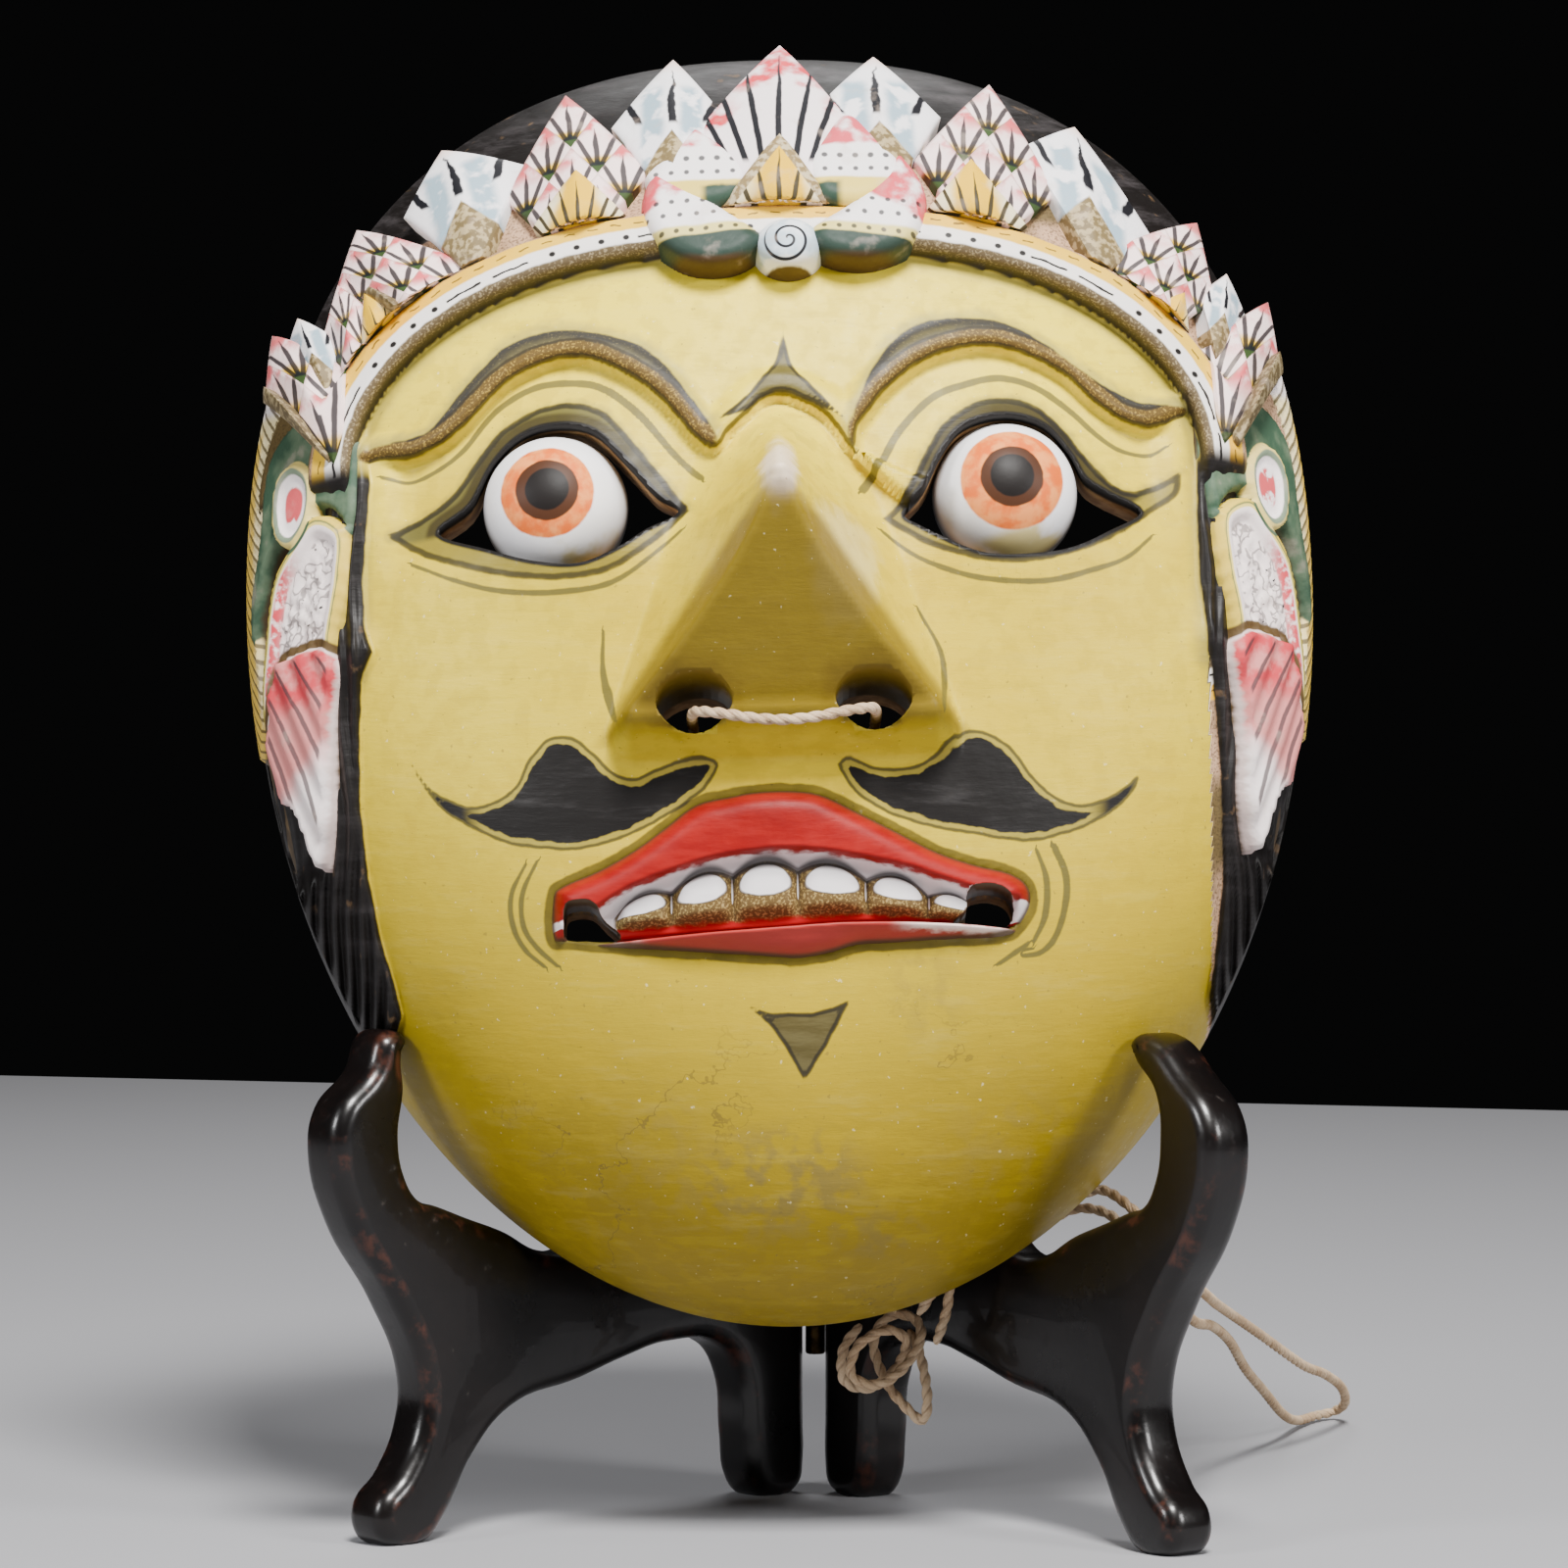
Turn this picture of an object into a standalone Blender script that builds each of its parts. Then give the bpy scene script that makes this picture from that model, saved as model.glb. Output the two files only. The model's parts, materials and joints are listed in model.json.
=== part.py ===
"""Carved and painted wooden theatre mask, resting on a folding lacquered display stand.

Metres, +Z up. The face looks along -Y and leans back in the stand's two arms.
The origin is under the middle of mask and stand, on the surface that they stand on.
The mask's carving is laid out in carver's units, TEMPLE of them to the half breadth.
"""
import bmesh
import bpy
import numpy as np
from math import cos, pi, radians, sin
from mathutils import Matrix, Vector

# Mask: sizes in metres
HALF_WIDTH = 0.083            # half breadth at the temples
WALL = 0.009                  # thickness of the carved wall
LEAN = radians(16)            # how far the mask leans back
ROLL = radians(1.3)           # its right side sits a little higher
MASK_X = 0.0003
MASK_Y = 0.0317
TEMPLE = 82                   # half breadth in carver's units
UNIT = HALF_WIDTH / TEMPLE

# Mask: form and carving in carver's units
CROWN_HEIGHT = 87             # from the eye line up to the top of the crown
CHIN_DROP = 113               # from the eye line down to the chin
FACE_DEPTH = 58               # from the flat back to the front of the face
FULLNESS = 0.8                # below 1 the dome is fuller towards its rim
CROWN_SQUARENESS = 2.3        # 2 is an ellipse, more is squarer
JAW_SQUARENESS = 1.97
BAND_HALF_WIDTH = 63.5        # the crown's lower edge, an arch over the forehead
BAND_SPRING = 10
BAND_RISE = 30
BAND_STEP = 4.5               # how far the crown stands out over the forehead
BAND_WIDTH = 9
CROWN_GROUND = 2              # height of the hair behind the leaves
HAIR_LINE = 62.2              # half breadth of the face between the side locks
HAIR_STEP = 1.4
HAIR_END = -70
EAR_STEP = 4                  # height of the ear ornaments
BROW_STEP = 2.8               # depth of the eye hollows under the brow's edge
SOCKET_DROP = (6, 22)         # where the hollow starts and ends to rise again below that edge
SOCKET_SIDE = (52, 60)        # and towards the temple
NOSE_HEIGHT = 33              # from the cheek to the tip
NOSE_TIP = -4
NOSE_ROOT = 17
NOSE_BASE = -33
NOSE_WING = 22.5              # half breadth at the nostrils
LIP_HEIGHT = 3.4
MOUTH_SINK = 1.6
TOOTH_X = (4.5, 13.5, 22)
TOOTH_Z = -57.8
TOOTH_RADIUS = 4.6
TOOTH_HEIGHT = 2.2
EYE_X = 33.3
EYE_Z = 2.6
EYE_RADIUS = 10.8
EYE_SINK = 6.5                # how far the eyeball's middle lies behind the lids
EYE_ROOT = (5, 3.5, 13.5)     # half sizes of the rib behind it that joins it to both lids
LID_SWELL = 2.8
LID_REACH = 17                # how far from the eye the lids' swelling spreads
NOSTRIL = (13, -32.5)
NOSTRIL_REACH = (5.5, 3.5)    # half breadth and half height
NOSTRIL_SIDES = 12
NOSE_HOLLOW = (11, -12, 17, 16)  # behind the nose: half breadth, height, half height and depth
LEAF_EDGE = 3                 # height of a crown leaf at its edge
LEAF_RIDGE = 6.2              # and along its middle
INNER_LIFT = 2.2              # how far the small front leaves stand over the large ones
RELIEF_ROOT = 3               # how deep added carving is rooted in the wall
MASK_CELLS = 116              # grid of the carved front
MASK_KEEP = 0.1               # share of its faces kept after thinning
CAVITY_CELLS = 22

# Outlines on the mask's right half, in units: breadth from the middle, height over the eye line
BROW = [(0, 16.6), (4, 15.2), (7.2, 11.2), (10.4, 8), (13.5, 12.5), (18.5, 17.8),
        (24, 22.2), (31, 24.6), (38, 23.2), (45, 17.8), (52, 14), (60.5, 13.8)]
EYE = [(15.5, -1), (19, 1.5), (23, 7.2), (27.5, 11), (33.3, 12.7), (38.8, 11.6), (43, 8), (46, 3.6),
       (51.8, .2), (48, -3.6), (43.2, -6), (37.5, -8), (30.5, -8.7), (25, -7), (20, -4)]
LIPS = [(0, -43.4), (5, -43.9), (10, -46.1), (16, -49), (22, -51.7), (27.5, -53.6), (32.6, -55),
        (35, -57.5), (34.5, -61), (31.5, -63.2), (24.5, -64.3),
        (17, -65), (11, -65.6), (5, -66.7), (0, -67)]
MOUTH = [(0, -52.6), (6, -53), (12, -54.1), (17.5, -55.4), (22.5, -56.7), (27, -58.2), (30.5, -57.5),
         (32.5, -59.2), (31.2, -61.8), (24.5, -62.4), (10, -62.4), (0, -63)]
MOUTH_CORNER = [(26.2, -60), (30, -57.5), (32.5, -59.2), (31.2, -62), (24, -62.2)]
EAR_DISC = [(65.2, 11), (70, 15), (75.2, 17), (78.5, 10), (80.2, -4), (80, -15), (77.2, -22.5),
            (70, -25), (67.5, -15), (66, -1)]
EAR_WING = [(66.2, -19.5), (73, -19), (79, -22), (78.5, -29), (74, -37),
            (69.2, -47.5), (67.2, -39), (66, -29)]

# Crown leaves on the right half, in units: tip, outer shoulder, foot, inner shoulder
LEAVES = {
    "middle": [(0, 81.2), (13.5, 66), (0, 51.5), (-13.5, 66)],
    "second": [(15.5, 79), (24.5, 70), (17.5, 62), (8.5, 70)],
    "third": [(32.5, 73.5), (42.5, 58.5), (32.5, 50), (23.5, 59)],
    "fourth": [(48.5, 66.5), (57, 54), (47, 47), (40, 62)],
    "fifth": [(64, 53), (68, 41), (56, 36), (52, 50)],
    "sixth": [(70.5, 44), (73.5, 33), (65, 27), (64.5, 40)],
    "seventh": [(75.5, 37), (77.2, 29), (70.5, 24), (70, 33)],
    "eighth": [(76, 29), (76.5, 19), (66.5, 15), (68, 27)],
}
INNER_LEAVES = {
    "middle": [(0, 61), (7.5, 50), (0, 40), (-7.5, 50)],
    "third": [(30, 56.7), (36.5, 49), (28.5, 43), (22.5, 50)],
    "fifth": [(60, 37.8), (61, 29), (53, 27), (53, 34)],
}
# Centre ornament: breadth, height, half breadth, half height and height over the dome
LOBES = [(11.5, 42, 8.5, 4.2, 8.2), (12.5, 52.5, 7.8, 5, 8)]
KNOB = (1, 40, 5, 5, 9)

# Stand, metres
BOARD = 0.0092                # thickness of the two folding boards
BOARD_ROUND = 0.0022          # rounding of their edges
LEFT_SWING = radians(46)      # angle of each board to the depth axis
RIGHT_SWING = radians(35.5)
HINGE_X = 0.0059
HINGE_Y = 0.0457
HINGE_GAP = 0.0014
FIT = 0.0003                  # gap between touching pieces
SEAT_REACH = 0.0425           # where the mask's rim meets the seat, from the mask's middle
SEAT_HEIGHT = 0.0465
LEFT_TRIM = 0.0038            # how much further out each arm's tip ends, to fit the cheek
RIGHT_TRIM = -0.0016
SEAT_GAP = 0.0004
BARREL_RADIUS = 0.0016        # hinges
BARREL_LENGTH = 0.016
PLATE = 0.0008
PLATE_WIDTH = 0.005
HINGE_HEIGHTS = (0.030, 0.084)

# Board outline, metres: distance from the hinge, height
BOARD_OUTLINE = [
    (0, .0050), (.0008, .0015), (.0035, -.0003), (.0088, -.0003), (.0117, .0026), (.0130, .0100),
    (.0142, .0195), (.0185, .0250), (.0290, .0264), (.0385, .0247), (.0480, .0222), (.0630, .0188),
    (.0708, .0120), (.0762, .0036), (.0805, -.0002), (.0865, -.0003), (.0893, .0020), (.0892, .0066),
    (.0850, .0108), (.0812, .0180), (.0809, .0255), (.0862, .0366), (.0948, .0490), (.0982, .0600),
    (.0968, .0668), (.0910, .0722), (.0840, .0778), (.0800, .0768), (.0808, .0742), (.0842, .0690),
    (.0852, .0620), (.0840, .0560), (.0812, .0522), (.0770, .0508), (.0715, .0488), (.0640, .0462),
    (.0560, .0426), (.0470, .0430), (.0380, .0560), (.0310, .0760), (.0255, .0980), (.0200, .1110),
    (.0110, .1150), (.0030, .1130), (0, .1060), (0, .0980), (0, .0130),
]

# Twine: the routes' own points. The first is in the mask's units, the second in metres.
TWINE = 0.0017                # diameter
NOSE_ROUTE = [
    (15.2, 9, -109.6), (14.6, 6.8, -107.4), (14.2, 3.6, -103.6), (13.8, 1.2, -100.9), (13.4, -3.2, -98.6),
    (13, -14, -90), (12.8, -26, -73), (12.8, -36, -55), (13, -40, -42.5), (13.1, -43.5, -36.8),
    (13.2, -46.8, -33.8), (13.3, -52, -33.1), (13.4, -57, -33.2), (13.3, -62, -33.6), (12.5, -66, -34.2),
    (9, -68.4, -35.2), (4.5, -69.2, -36.2), (0, -69.4, -36.6), (-4.5, -69.2, -36.2), (-9, -68.4, -35.2),
    (-12.5, -66, -34.2), (-13.3, -62, -33.6), (-13.4, -57, -33.2), (-13.3, -52, -33.1),
    (-13.2, -46.8, -33.8), (-13.1, -43.5, -36.8), (-12.6, -40, -42.5), (-9, -36, -55), (-3, -26, -73),
    (4, -14, -90), (8.4, -3.2, -99.6), (9.2, 1.2, -102), (9.9, 3.6, -104.7), (10.6, 6.8, -107.4),
    (11.2, 9, -109.6),
]
LOOP_ROUTE = [
    (.0219, .0118, .0323), (.0240, .0100, .0358), (.0275, .0078, .0405), (.0315, .0065, .0450),
    (.0370, .0085, .0472), (.0425, .0100, .0490), (.0470, .0096, .0511), (.0505, .0084, .0519),
    (.0545, .0040, .0495), (.0590, .0020, .0445), (.0640, .0082, .0380), (.0680, .0232, .0335),
    (.0712, .0442, .0298), (.0793, .0717, .0225), (.0882, .0937, .0148), (.0932, .1077, .0115),
    (.0973, .1217, .0076), (.0988, .1307, .0038), (.0974, .1357, .0016), (.0936, .1322, .0012),
    (.0897, .1222, .0017), (.0859, .1057, .0050), (.0815, .0897, .0108), (.0772, .0737, .0165),
    (.0735, .0577, .0228), (.0695, .0412, .0272), (.0655, .0222, .0300), (.0608, .0057, .0355),
    (.0560, .0040, .0425), (.0522, .0082, .0476), (.0470, .0122, .0488), (.0415, .0125, .0468),
    (.0372, .0113, .0471), (.0308, .0076, .0444), (.0272, .0080, .0392), (.0262, .0100, .0330),
    (.0246, .0120, .0277),
]
KNOT = (.0165, .0137, .0245)  # middle of the knot that joins them
KNOT_REACH = (.0075, .0045, .0095)


# Placing

def profile(x, z):
    """Superellipse sum of a place on the dome, with the squareness and height used there."""
    height = np.where(z > 0, CROWN_HEIGHT, CHIN_DROP)
    power = np.where(z > 0, CROWN_SQUARENESS, JAW_SQUARENESS)
    total = np.abs(x / TEMPLE) ** power + np.abs(z / height) ** power
    return np.maximum(total, 1e-9), power, height


def dome_depth(x, z):
    """How far the plain dome stands in front of the flat back."""
    total, power, _ = profile(x, z)
    rest = np.maximum(1 - total ** (2 / power), 0)
    return FACE_DEPTH * rest ** (FULLNESS / 2)


def dome_normal(x, z):
    """Outward direction of the plain dome."""
    total, power, height = profile(x, z)
    rest = np.maximum(1 - total ** (2 / power), 0)
    common = 2 * total ** (2 / power - 1)
    across = common * np.abs(x / TEMPLE) ** (power - 1) * np.sign(x) / TEMPLE
    up = common * np.abs(z / height) ** (power - 1) * np.sign(z) / height
    front = -(2 / FULLNESS) * rest ** (1 - FULLNESS / 2) / FACE_DEPTH
    normal = np.stack([across, front, up], -1)
    return normal / np.linalg.norm(normal, axis=-1, keepdims=True)


def on_dome(x, z, lift):
    """A point over the dome at breadth x and height z, lifted along the dome's normal."""
    x, z, lift = np.asarray(x, float), np.asarray(z, float), np.asarray(lift, float)
    base = np.stack([x, -dome_depth(x, z), z], -1)
    return base + dome_normal(x, z) * lift[..., None]


def disc_grid(cells, inset):
    """Square grid pressed into the mask's outline, inset by a wall: breadths and heights."""
    lines = np.linspace(-1, 1, int(cells) + 1)
    a, b = np.meshgrid(lines, lines, indexing="ij")
    across = a * np.sqrt(1 - b * b / 2)
    up = b * np.sqrt(1 - a * a / 2)
    radius = np.maximum(np.hypot(across, up), 1e-9)
    across, up = across / radius, up / radius
    power = np.where(up > 0, CROWN_SQUARENESS, JAW_SQUARENESS)
    stretch = (np.abs(across) ** power + np.abs(up) ** power + 1e-12) ** (-1 / power)
    reach = np.sin(np.minimum(radius, 1) * pi / 2) * stretch
    height = np.where(up > 0, CROWN_HEIGHT, CHIN_DROP) - inset
    return (TEMPLE - inset) * reach * across, height * reach * up


def mirrored(half):
    """Closed outline from its right half."""
    return half + [(-x, z) for x, z in reversed(half) if x > 0]


def inside_distance(outline, x, z):
    """Distance to a closed outline, positive inside."""
    nearest = np.full(x.shape, 1000.0)
    inside = np.zeros(x.shape, bool)
    for (ax, az), (bx, bz) in zip(outline, outline[1:] + outline[:1]):
        dx, dz = bx - ax, bz - az
        along = np.clip(((x - ax) * dx + (z - az) * dz) / (dx * dx + dz * dz), 0, 1)
        nearest = np.minimum(nearest, np.hypot(x - ax - along * dx, z - az - along * dz))
        if dz:
            inside ^= ((az > z) != (bz > z)) & (x < ax + (z - az) * dx / dz)
    return np.where(inside, nearest, -nearest)


def ease(value, low, high):
    """0 below low, 1 above high, smooth between."""
    t = np.clip((value - low) / (high - low), 0, 1)
    return t * t * (3 - 2 * t)


# Relief

def band_height(x):
    """Height of the crown's lower edge at each breadth."""
    share = np.minimum(np.abs(x) / BAND_HALF_WIDTH, 1)
    return BAND_SPRING + BAND_RISE * np.sqrt(1 - share ** 2.6)


def nose_height(x, z):
    """The nose: a concave ridge above the tip, a flat slanted underside between wings below it."""
    side = np.sqrt(x * x + 0.8)
    down = np.clip((NOSE_TIP - z) / (NOSE_TIP - NOSE_BASE), 0, 1)
    up = np.clip((NOSE_ROOT - z) / (NOSE_ROOT - NOSE_TIP), 0, 1)
    top = np.where(z < NOSE_TIP, NOSE_HEIGHT * (1 - 0.68 * down), NOSE_HEIGHT * up ** 1.35)
    edge = np.where(z < NOSE_TIP, 1 + (NOSE_WING - 1) * down ** 1.5, 0)
    reach = 9 + 7 * up + 9.5 * down
    fall = np.clip(1 - (side - edge) / (reach - edge), 0, 1)
    return top * fall ** (1.5 - 0.8 * down) * ease(z, NOSE_BASE - 6, NOSE_BASE - 1)


def relief(x, z):
    """Height of the carving over the plain dome."""
    side = np.abs(x)
    over_band = z - band_height(x)
    band = CROWN_GROUND + (BAND_STEP - CROWN_GROUND) * ease(-over_band, -BAND_WIDTH - 1, -BAND_WIDTH)
    height = band * ease(over_band, 0, 0.8)
    locks = ease(side, HAIR_LINE, HAIR_LINE + 1) * (over_band <= 0) * ease(z, HAIR_END - 4, HAIR_END)
    height += HAIR_STEP * locks
    below = np.interp(side, [p[0] for p in BROW], [p[1] for p in BROW]) - z
    socket = ease(below, 0, 1.2) * (1 - ease(below, *SOCKET_DROP)) * (1 - ease(side, *SOCKET_SIDE))
    height -= BROW_STEP * socket
    height += LID_SWELL * np.exp(-((side - EYE_X) ** 2 + (z - EYE_Z) ** 2) / LID_REACH ** 2)
    lips = inside_distance(mirrored(LIPS), x, z)
    mouth = inside_distance(mirrored(MOUTH), x, z)
    height += LIP_HEIGHT * np.tanh(np.maximum(lips, 0) / 2) * (1 - ease(mouth, -0.4, 0.6))
    height -= MOUTH_SINK * ease(mouth, 0, 1.2)
    for tooth in TOOTH_X:
        block = ((side - tooth) / TOOTH_RADIUS) ** 4 + ((z - TOOTH_Z + tooth / 10) / TOOTH_RADIUS) ** 4
        height += TOOTH_HEIGHT * ease(1 - block, 0, 0.6)
    for outline in (EAR_DISC, EAR_WING):
        height += (EAR_STEP - HAIR_STEP) * ease(inside_distance(outline, side, z), 0, 0.9)
    return height


# Materials and meshes

def paint(name, colour, roughness, metallic=0):
    """A plain material."""
    material = bpy.data.materials.new(name)
    material.use_nodes = True
    shader = material.node_tree.nodes["Principled BSDF"]
    shader.inputs["Base Color"].default_value = (*colour, 1)
    shader.inputs["Roughness"].default_value = roughness
    shader.inputs["Metallic"].default_value = metallic
    return material


def add_object(name, mesh, collection, material):
    """Put a mesh into a collection as an object."""
    obj = bpy.data.objects.new(name, mesh)
    collection.objects.link(obj)
    if material:
        mesh.materials.append(material)
    return obj


def add_cutter(name, mesh, collection, place):
    """Put a mesh that only shapes another into a collection."""
    obj = add_object(name, mesh, collection, None)
    obj.hide_render = True
    obj.display_type = "WIRE"
    obj.matrix_world = place
    return obj


def mesh_from(name, points, faces):
    """Mesh from points and faces, its faces pointing outwards."""
    mesh = bpy.data.meshes.new(name)
    mesh.from_pydata([tuple(p) for p in points], [], faces)
    work = bmesh.new()
    work.from_mesh(mesh)
    bmesh.ops.recalc_face_normals(work, faces=work.faces)
    work.to_mesh(mesh)
    work.free()
    return mesh


def dome_mesh(name, points, back):
    """Closed body from a grid of points in units: the grid in front, a skirt and a flat back."""
    cells = points.shape[0] - 1
    index = np.arange((cells + 1) ** 2).reshape(cells + 1, cells + 1)
    corners = [index[:-1, :-1], index[:-1, 1:], index[1:, 1:], index[1:, :-1]]
    faces = np.stack([c.ravel() for c in corners], -1).tolist()
    rim = np.concatenate([index[:-1, 0], index[-1, :-1], index[:0:-1, -1], index[0, :0:-1]])
    flat = points.reshape(-1, 3)
    behind = flat[rim] * (1, 0, 1) + (0, back, 0)
    skirt = len(flat) + np.arange(len(rim))
    faces += np.stack([rim, np.roll(rim, -1), np.roll(skirt, -1), skirt], -1).tolist()
    faces.append(skirt.tolist())
    return mesh_from(name, np.vstack([flat, behind]) * UNIT, faces)


def prism(name, outline):
    """Bar through the mask's front, with a closed outline in the mask's plane, in units."""
    count = len(outline)
    front = [(x, -FACE_DEPTH - NOSE_HEIGHT, z) for x, z in outline]
    points = np.array(front + [(x, 0, z) for x, z in outline]) * UNIT
    faces = [(k, (k + 1) % count, count + (k + 1) % count, count + k) for k in range(count)]
    faces += [tuple(range(count)), tuple(range(count, 2 * count))]
    return mesh_from(name, points, faces)


def leaf_mesh(outline, lift):
    """Low four-sided pyramid on the dome from its tip, shoulder, foot and shoulder."""
    x, z = np.array(outline, float).T
    top = on_dome(x, z, np.full(4, LEAF_EDGE + lift))
    root = on_dome(x, z, np.full(4, -RELIEF_ROOT))
    peak = on_dome(0.45 * x[0] + 0.55 * x[2], 0.45 * z[0] + 0.55 * z[2], LEAF_RIDGE + lift)
    points = np.vstack([top, root, peak]) * UNIT
    faces = [(k, (k + 1) % 4, 8) for k in range(4)]
    faces += [(k, 4 + k, 4 + (k + 1) % 4, (k + 1) % 4) for k in range(4)]
    return mesh_from("leaf", points, faces + [(4, 5, 6, 7)])


def ball_mesh(name, reach, place, around, along):
    """Ball stretched to three half sizes and placed."""
    work = bmesh.new()
    bmesh.ops.create_uvsphere(work, u_segments=around, v_segments=along, radius=1)
    bmesh.ops.transform(work, matrix=place @ Matrix.Diagonal((*reach, 1)), verts=work.verts)
    mesh = bpy.data.meshes.new(name)
    work.to_mesh(mesh)
    work.free()
    return mesh


def boss_mesh(x, z, half_width, half_height, lift):
    """Rounded boss set on the dome, in units."""
    out = Vector(dome_normal(np.array(x), np.array(z)))
    across = Vector((0, 0, 1)).cross(out).normalized()
    turn = Matrix((across, out.cross(across), out)).transposed().to_4x4()
    foot = Vector(on_dome(x, z, 0) * UNIT)
    reach = (half_width * UNIT, half_height * UNIT, lift * UNIT)
    return ball_mesh("boss", reach, Matrix.Translation(foot) @ turn, 10, 6)


def boolean(obj, operation, collection):
    """Add or cut all the objects of a collection."""
    modifier = obj.modifiers.new(operation.title(), "BOOLEAN")
    modifier.operation = operation
    modifier.operand_type = "COLLECTION"
    modifier.collection = collection
    modifier.solver = "EXACT"


# Mask

def mask_place():
    """Where the mask sits: leaning back, rolled a little, its rim just over the stand's seats."""
    share = SEAT_REACH / HALF_WIDTH
    drop = CHIN_DROP * UNIT * (1 - share ** JAW_SQUARENESS) ** (1 / JAW_SQUARENESS)
    height = SEAT_HEIGHT + SEAT_GAP + drop * cos(LEAN) + SEAT_REACH * sin(ROLL)
    place = Matrix.Translation((MASK_X, MASK_Y, height))
    return place @ Matrix.Rotation(-LEAN, 4, "X") @ Matrix.Rotation(-ROLL, 4, "Y")


def carved_front():
    """The solid block with its front carved."""
    x, z = disc_grid(MASK_CELLS, 0)
    points = on_dome(x, z, relief(x, z))
    points[..., 1] -= nose_height(x, z)
    return dome_mesh("mask", points, 0.5)


def hollow_mesh():
    """The hollow behind the face, with a deeper place behind the nose."""
    wall = WALL / UNIT
    x, z = disc_grid(CAVITY_CELLS, wall)
    height = np.where(z > 0, CROWN_HEIGHT, CHIN_DROP)
    x_out, z_out = x * TEMPLE / (TEMPLE - wall), z * height / (height - wall)
    depth = dome_depth(x_out, z_out) * (FACE_DEPTH - wall) / FACE_DEPTH
    breadth, level, rise, extra = NOSE_HOLLOW
    depth += extra * np.exp(-(x / breadth) ** 2 - ((z - level) / rise) ** 2)
    return dome_mesh("hollow", np.stack([x, -depth, z], -1), 5)


def build_mask(place, parts, cutters, carvings):
    """One carved block: relief in front, hollow behind, eyes, nostrils and mouth cut through."""
    mask = add_object("mask", carved_front(), parts, paint("painted_wood", (0.62, 0.56, 0.18), 0.5))
    mask.matrix_world = place
    mask.modifiers.new("Thin", "DECIMATE").ratio = MASK_KEEP
    add_cutter("hollow", hollow_mesh(), cutters, place)
    for side, label in ((1, "right"), (-1, "left")):
        turns = np.arange(NOSTRIL_SIDES) * 2 * pi / NOSTRIL_SIDES
        reach = [(NOSTRIL_REACH[0] * cos(t), NOSTRIL_REACH[1] * sin(t)) for t in turns]
        nostril = [(NOSTRIL[0] + across, NOSTRIL[1] + up) for across, up in reach]
        for name, outline in (("eye", EYE), ("mouth", MOUTH_CORNER), ("nostril", nostril)):
            shape = [(side * x, z) for x, z in outline]
            add_cutter(f"{name}_hole_{label}", prism(name, shape), cutters, place)
        centre = Matrix.Translation(Vector(on_dome(side * EYE_X, EYE_Z, -EYE_SINK) * UNIT))
        for name, reach in (("eyeball", (EYE_RADIUS,) * 3), ("eye_root", EYE_ROOT)):
            ball = ball_mesh(name, [size * UNIT for size in reach], centre, 12, 8)
            add_cutter(f"{name}_{label}", ball, carvings, place)
        for group, lift in ((LEAVES, 0), (INNER_LEAVES, INNER_LIFT)):
            for name, outline in group.items():
                if side > 0 or name != "middle":
                    shape = [(side * x, z) for x, z in outline]
                    add_cutter(f"leaf_{name}_{label}", leaf_mesh(shape, lift), carvings, place)
        for x, *rest in LOBES:
            add_cutter(f"lobe_{label}", boss_mesh(side * x, *rest), carvings, place)
    add_cutter("knob", boss_mesh(*KNOB), carvings, place)
    boolean(mask, "DIFFERENCE", cutters)
    boolean(mask, "UNION", carvings)


# Stand

def board_frame(side, swing):
    """Directions along and out of a board, and the corner where it meets its pair."""
    along = Vector((side * sin(swing), -cos(swing), 0))
    outward = Vector((side * cos(swing), sin(swing), 0))
    return along, outward, Vector((HINGE_X + side * HINGE_GAP / 2, HINGE_Y, 0))


def build_board(name, side, swing, trim, parts, lacquer):
    """One folding half: foot, arm, seat, back upright and rear leg in one rounded board."""
    curve = bpy.data.curves.new(name, "CURVE")
    curve.dimensions = "2D"
    curve.fill_mode = "BOTH"
    curve.extrude = BOARD / 2 - BOARD_ROUND
    curve.bevel_depth = BOARD_ROUND
    curve.bevel_resolution = 0
    curve.offset = -BOARD_ROUND
    curve.resolution_u = 2
    spline = curve.splines.new("BEZIER")
    spline.bezier_points.add(len(BOARD_OUTLINE) - 1)
    spline.use_cyclic_u = True
    for point, (reach, height) in zip(spline.bezier_points, BOARD_OUTLINE):
        point.co = (reach + trim if reach > 0.05 and height > 0.074 else reach, height, 0)
        point.handle_left_type = "AUTO"
        point.handle_right_type = "AUTO"
    outline = bpy.data.objects.new(name, curve)
    bpy.context.scene.collection.objects.link(outline)
    graph = bpy.context.evaluated_depsgraph_get()
    mesh = bpy.data.meshes.new_from_object(outline.evaluated_get(graph))
    bpy.data.objects.remove(outline)
    work = bmesh.new()
    work.from_mesh(mesh)
    for vertex in work.verts:
        vertex.co.y = max(vertex.co.y, 0)
    bmesh.ops.remove_doubles(work, verts=work.verts, dist=0.00002)
    bmesh.ops.recalc_face_normals(work, faces=work.faces)
    work.to_mesh(mesh)
    work.free()
    along, outward, corner = board_frame(side, swing)
    up = Vector((0, 0, 1))
    turn = Matrix((along, up, along.cross(up))).transposed().to_4x4()
    board = add_object(name, mesh, parts, lacquer)
    board.matrix_world = Matrix.Translation(corner + outward * BOARD / 2) @ turn


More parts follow.
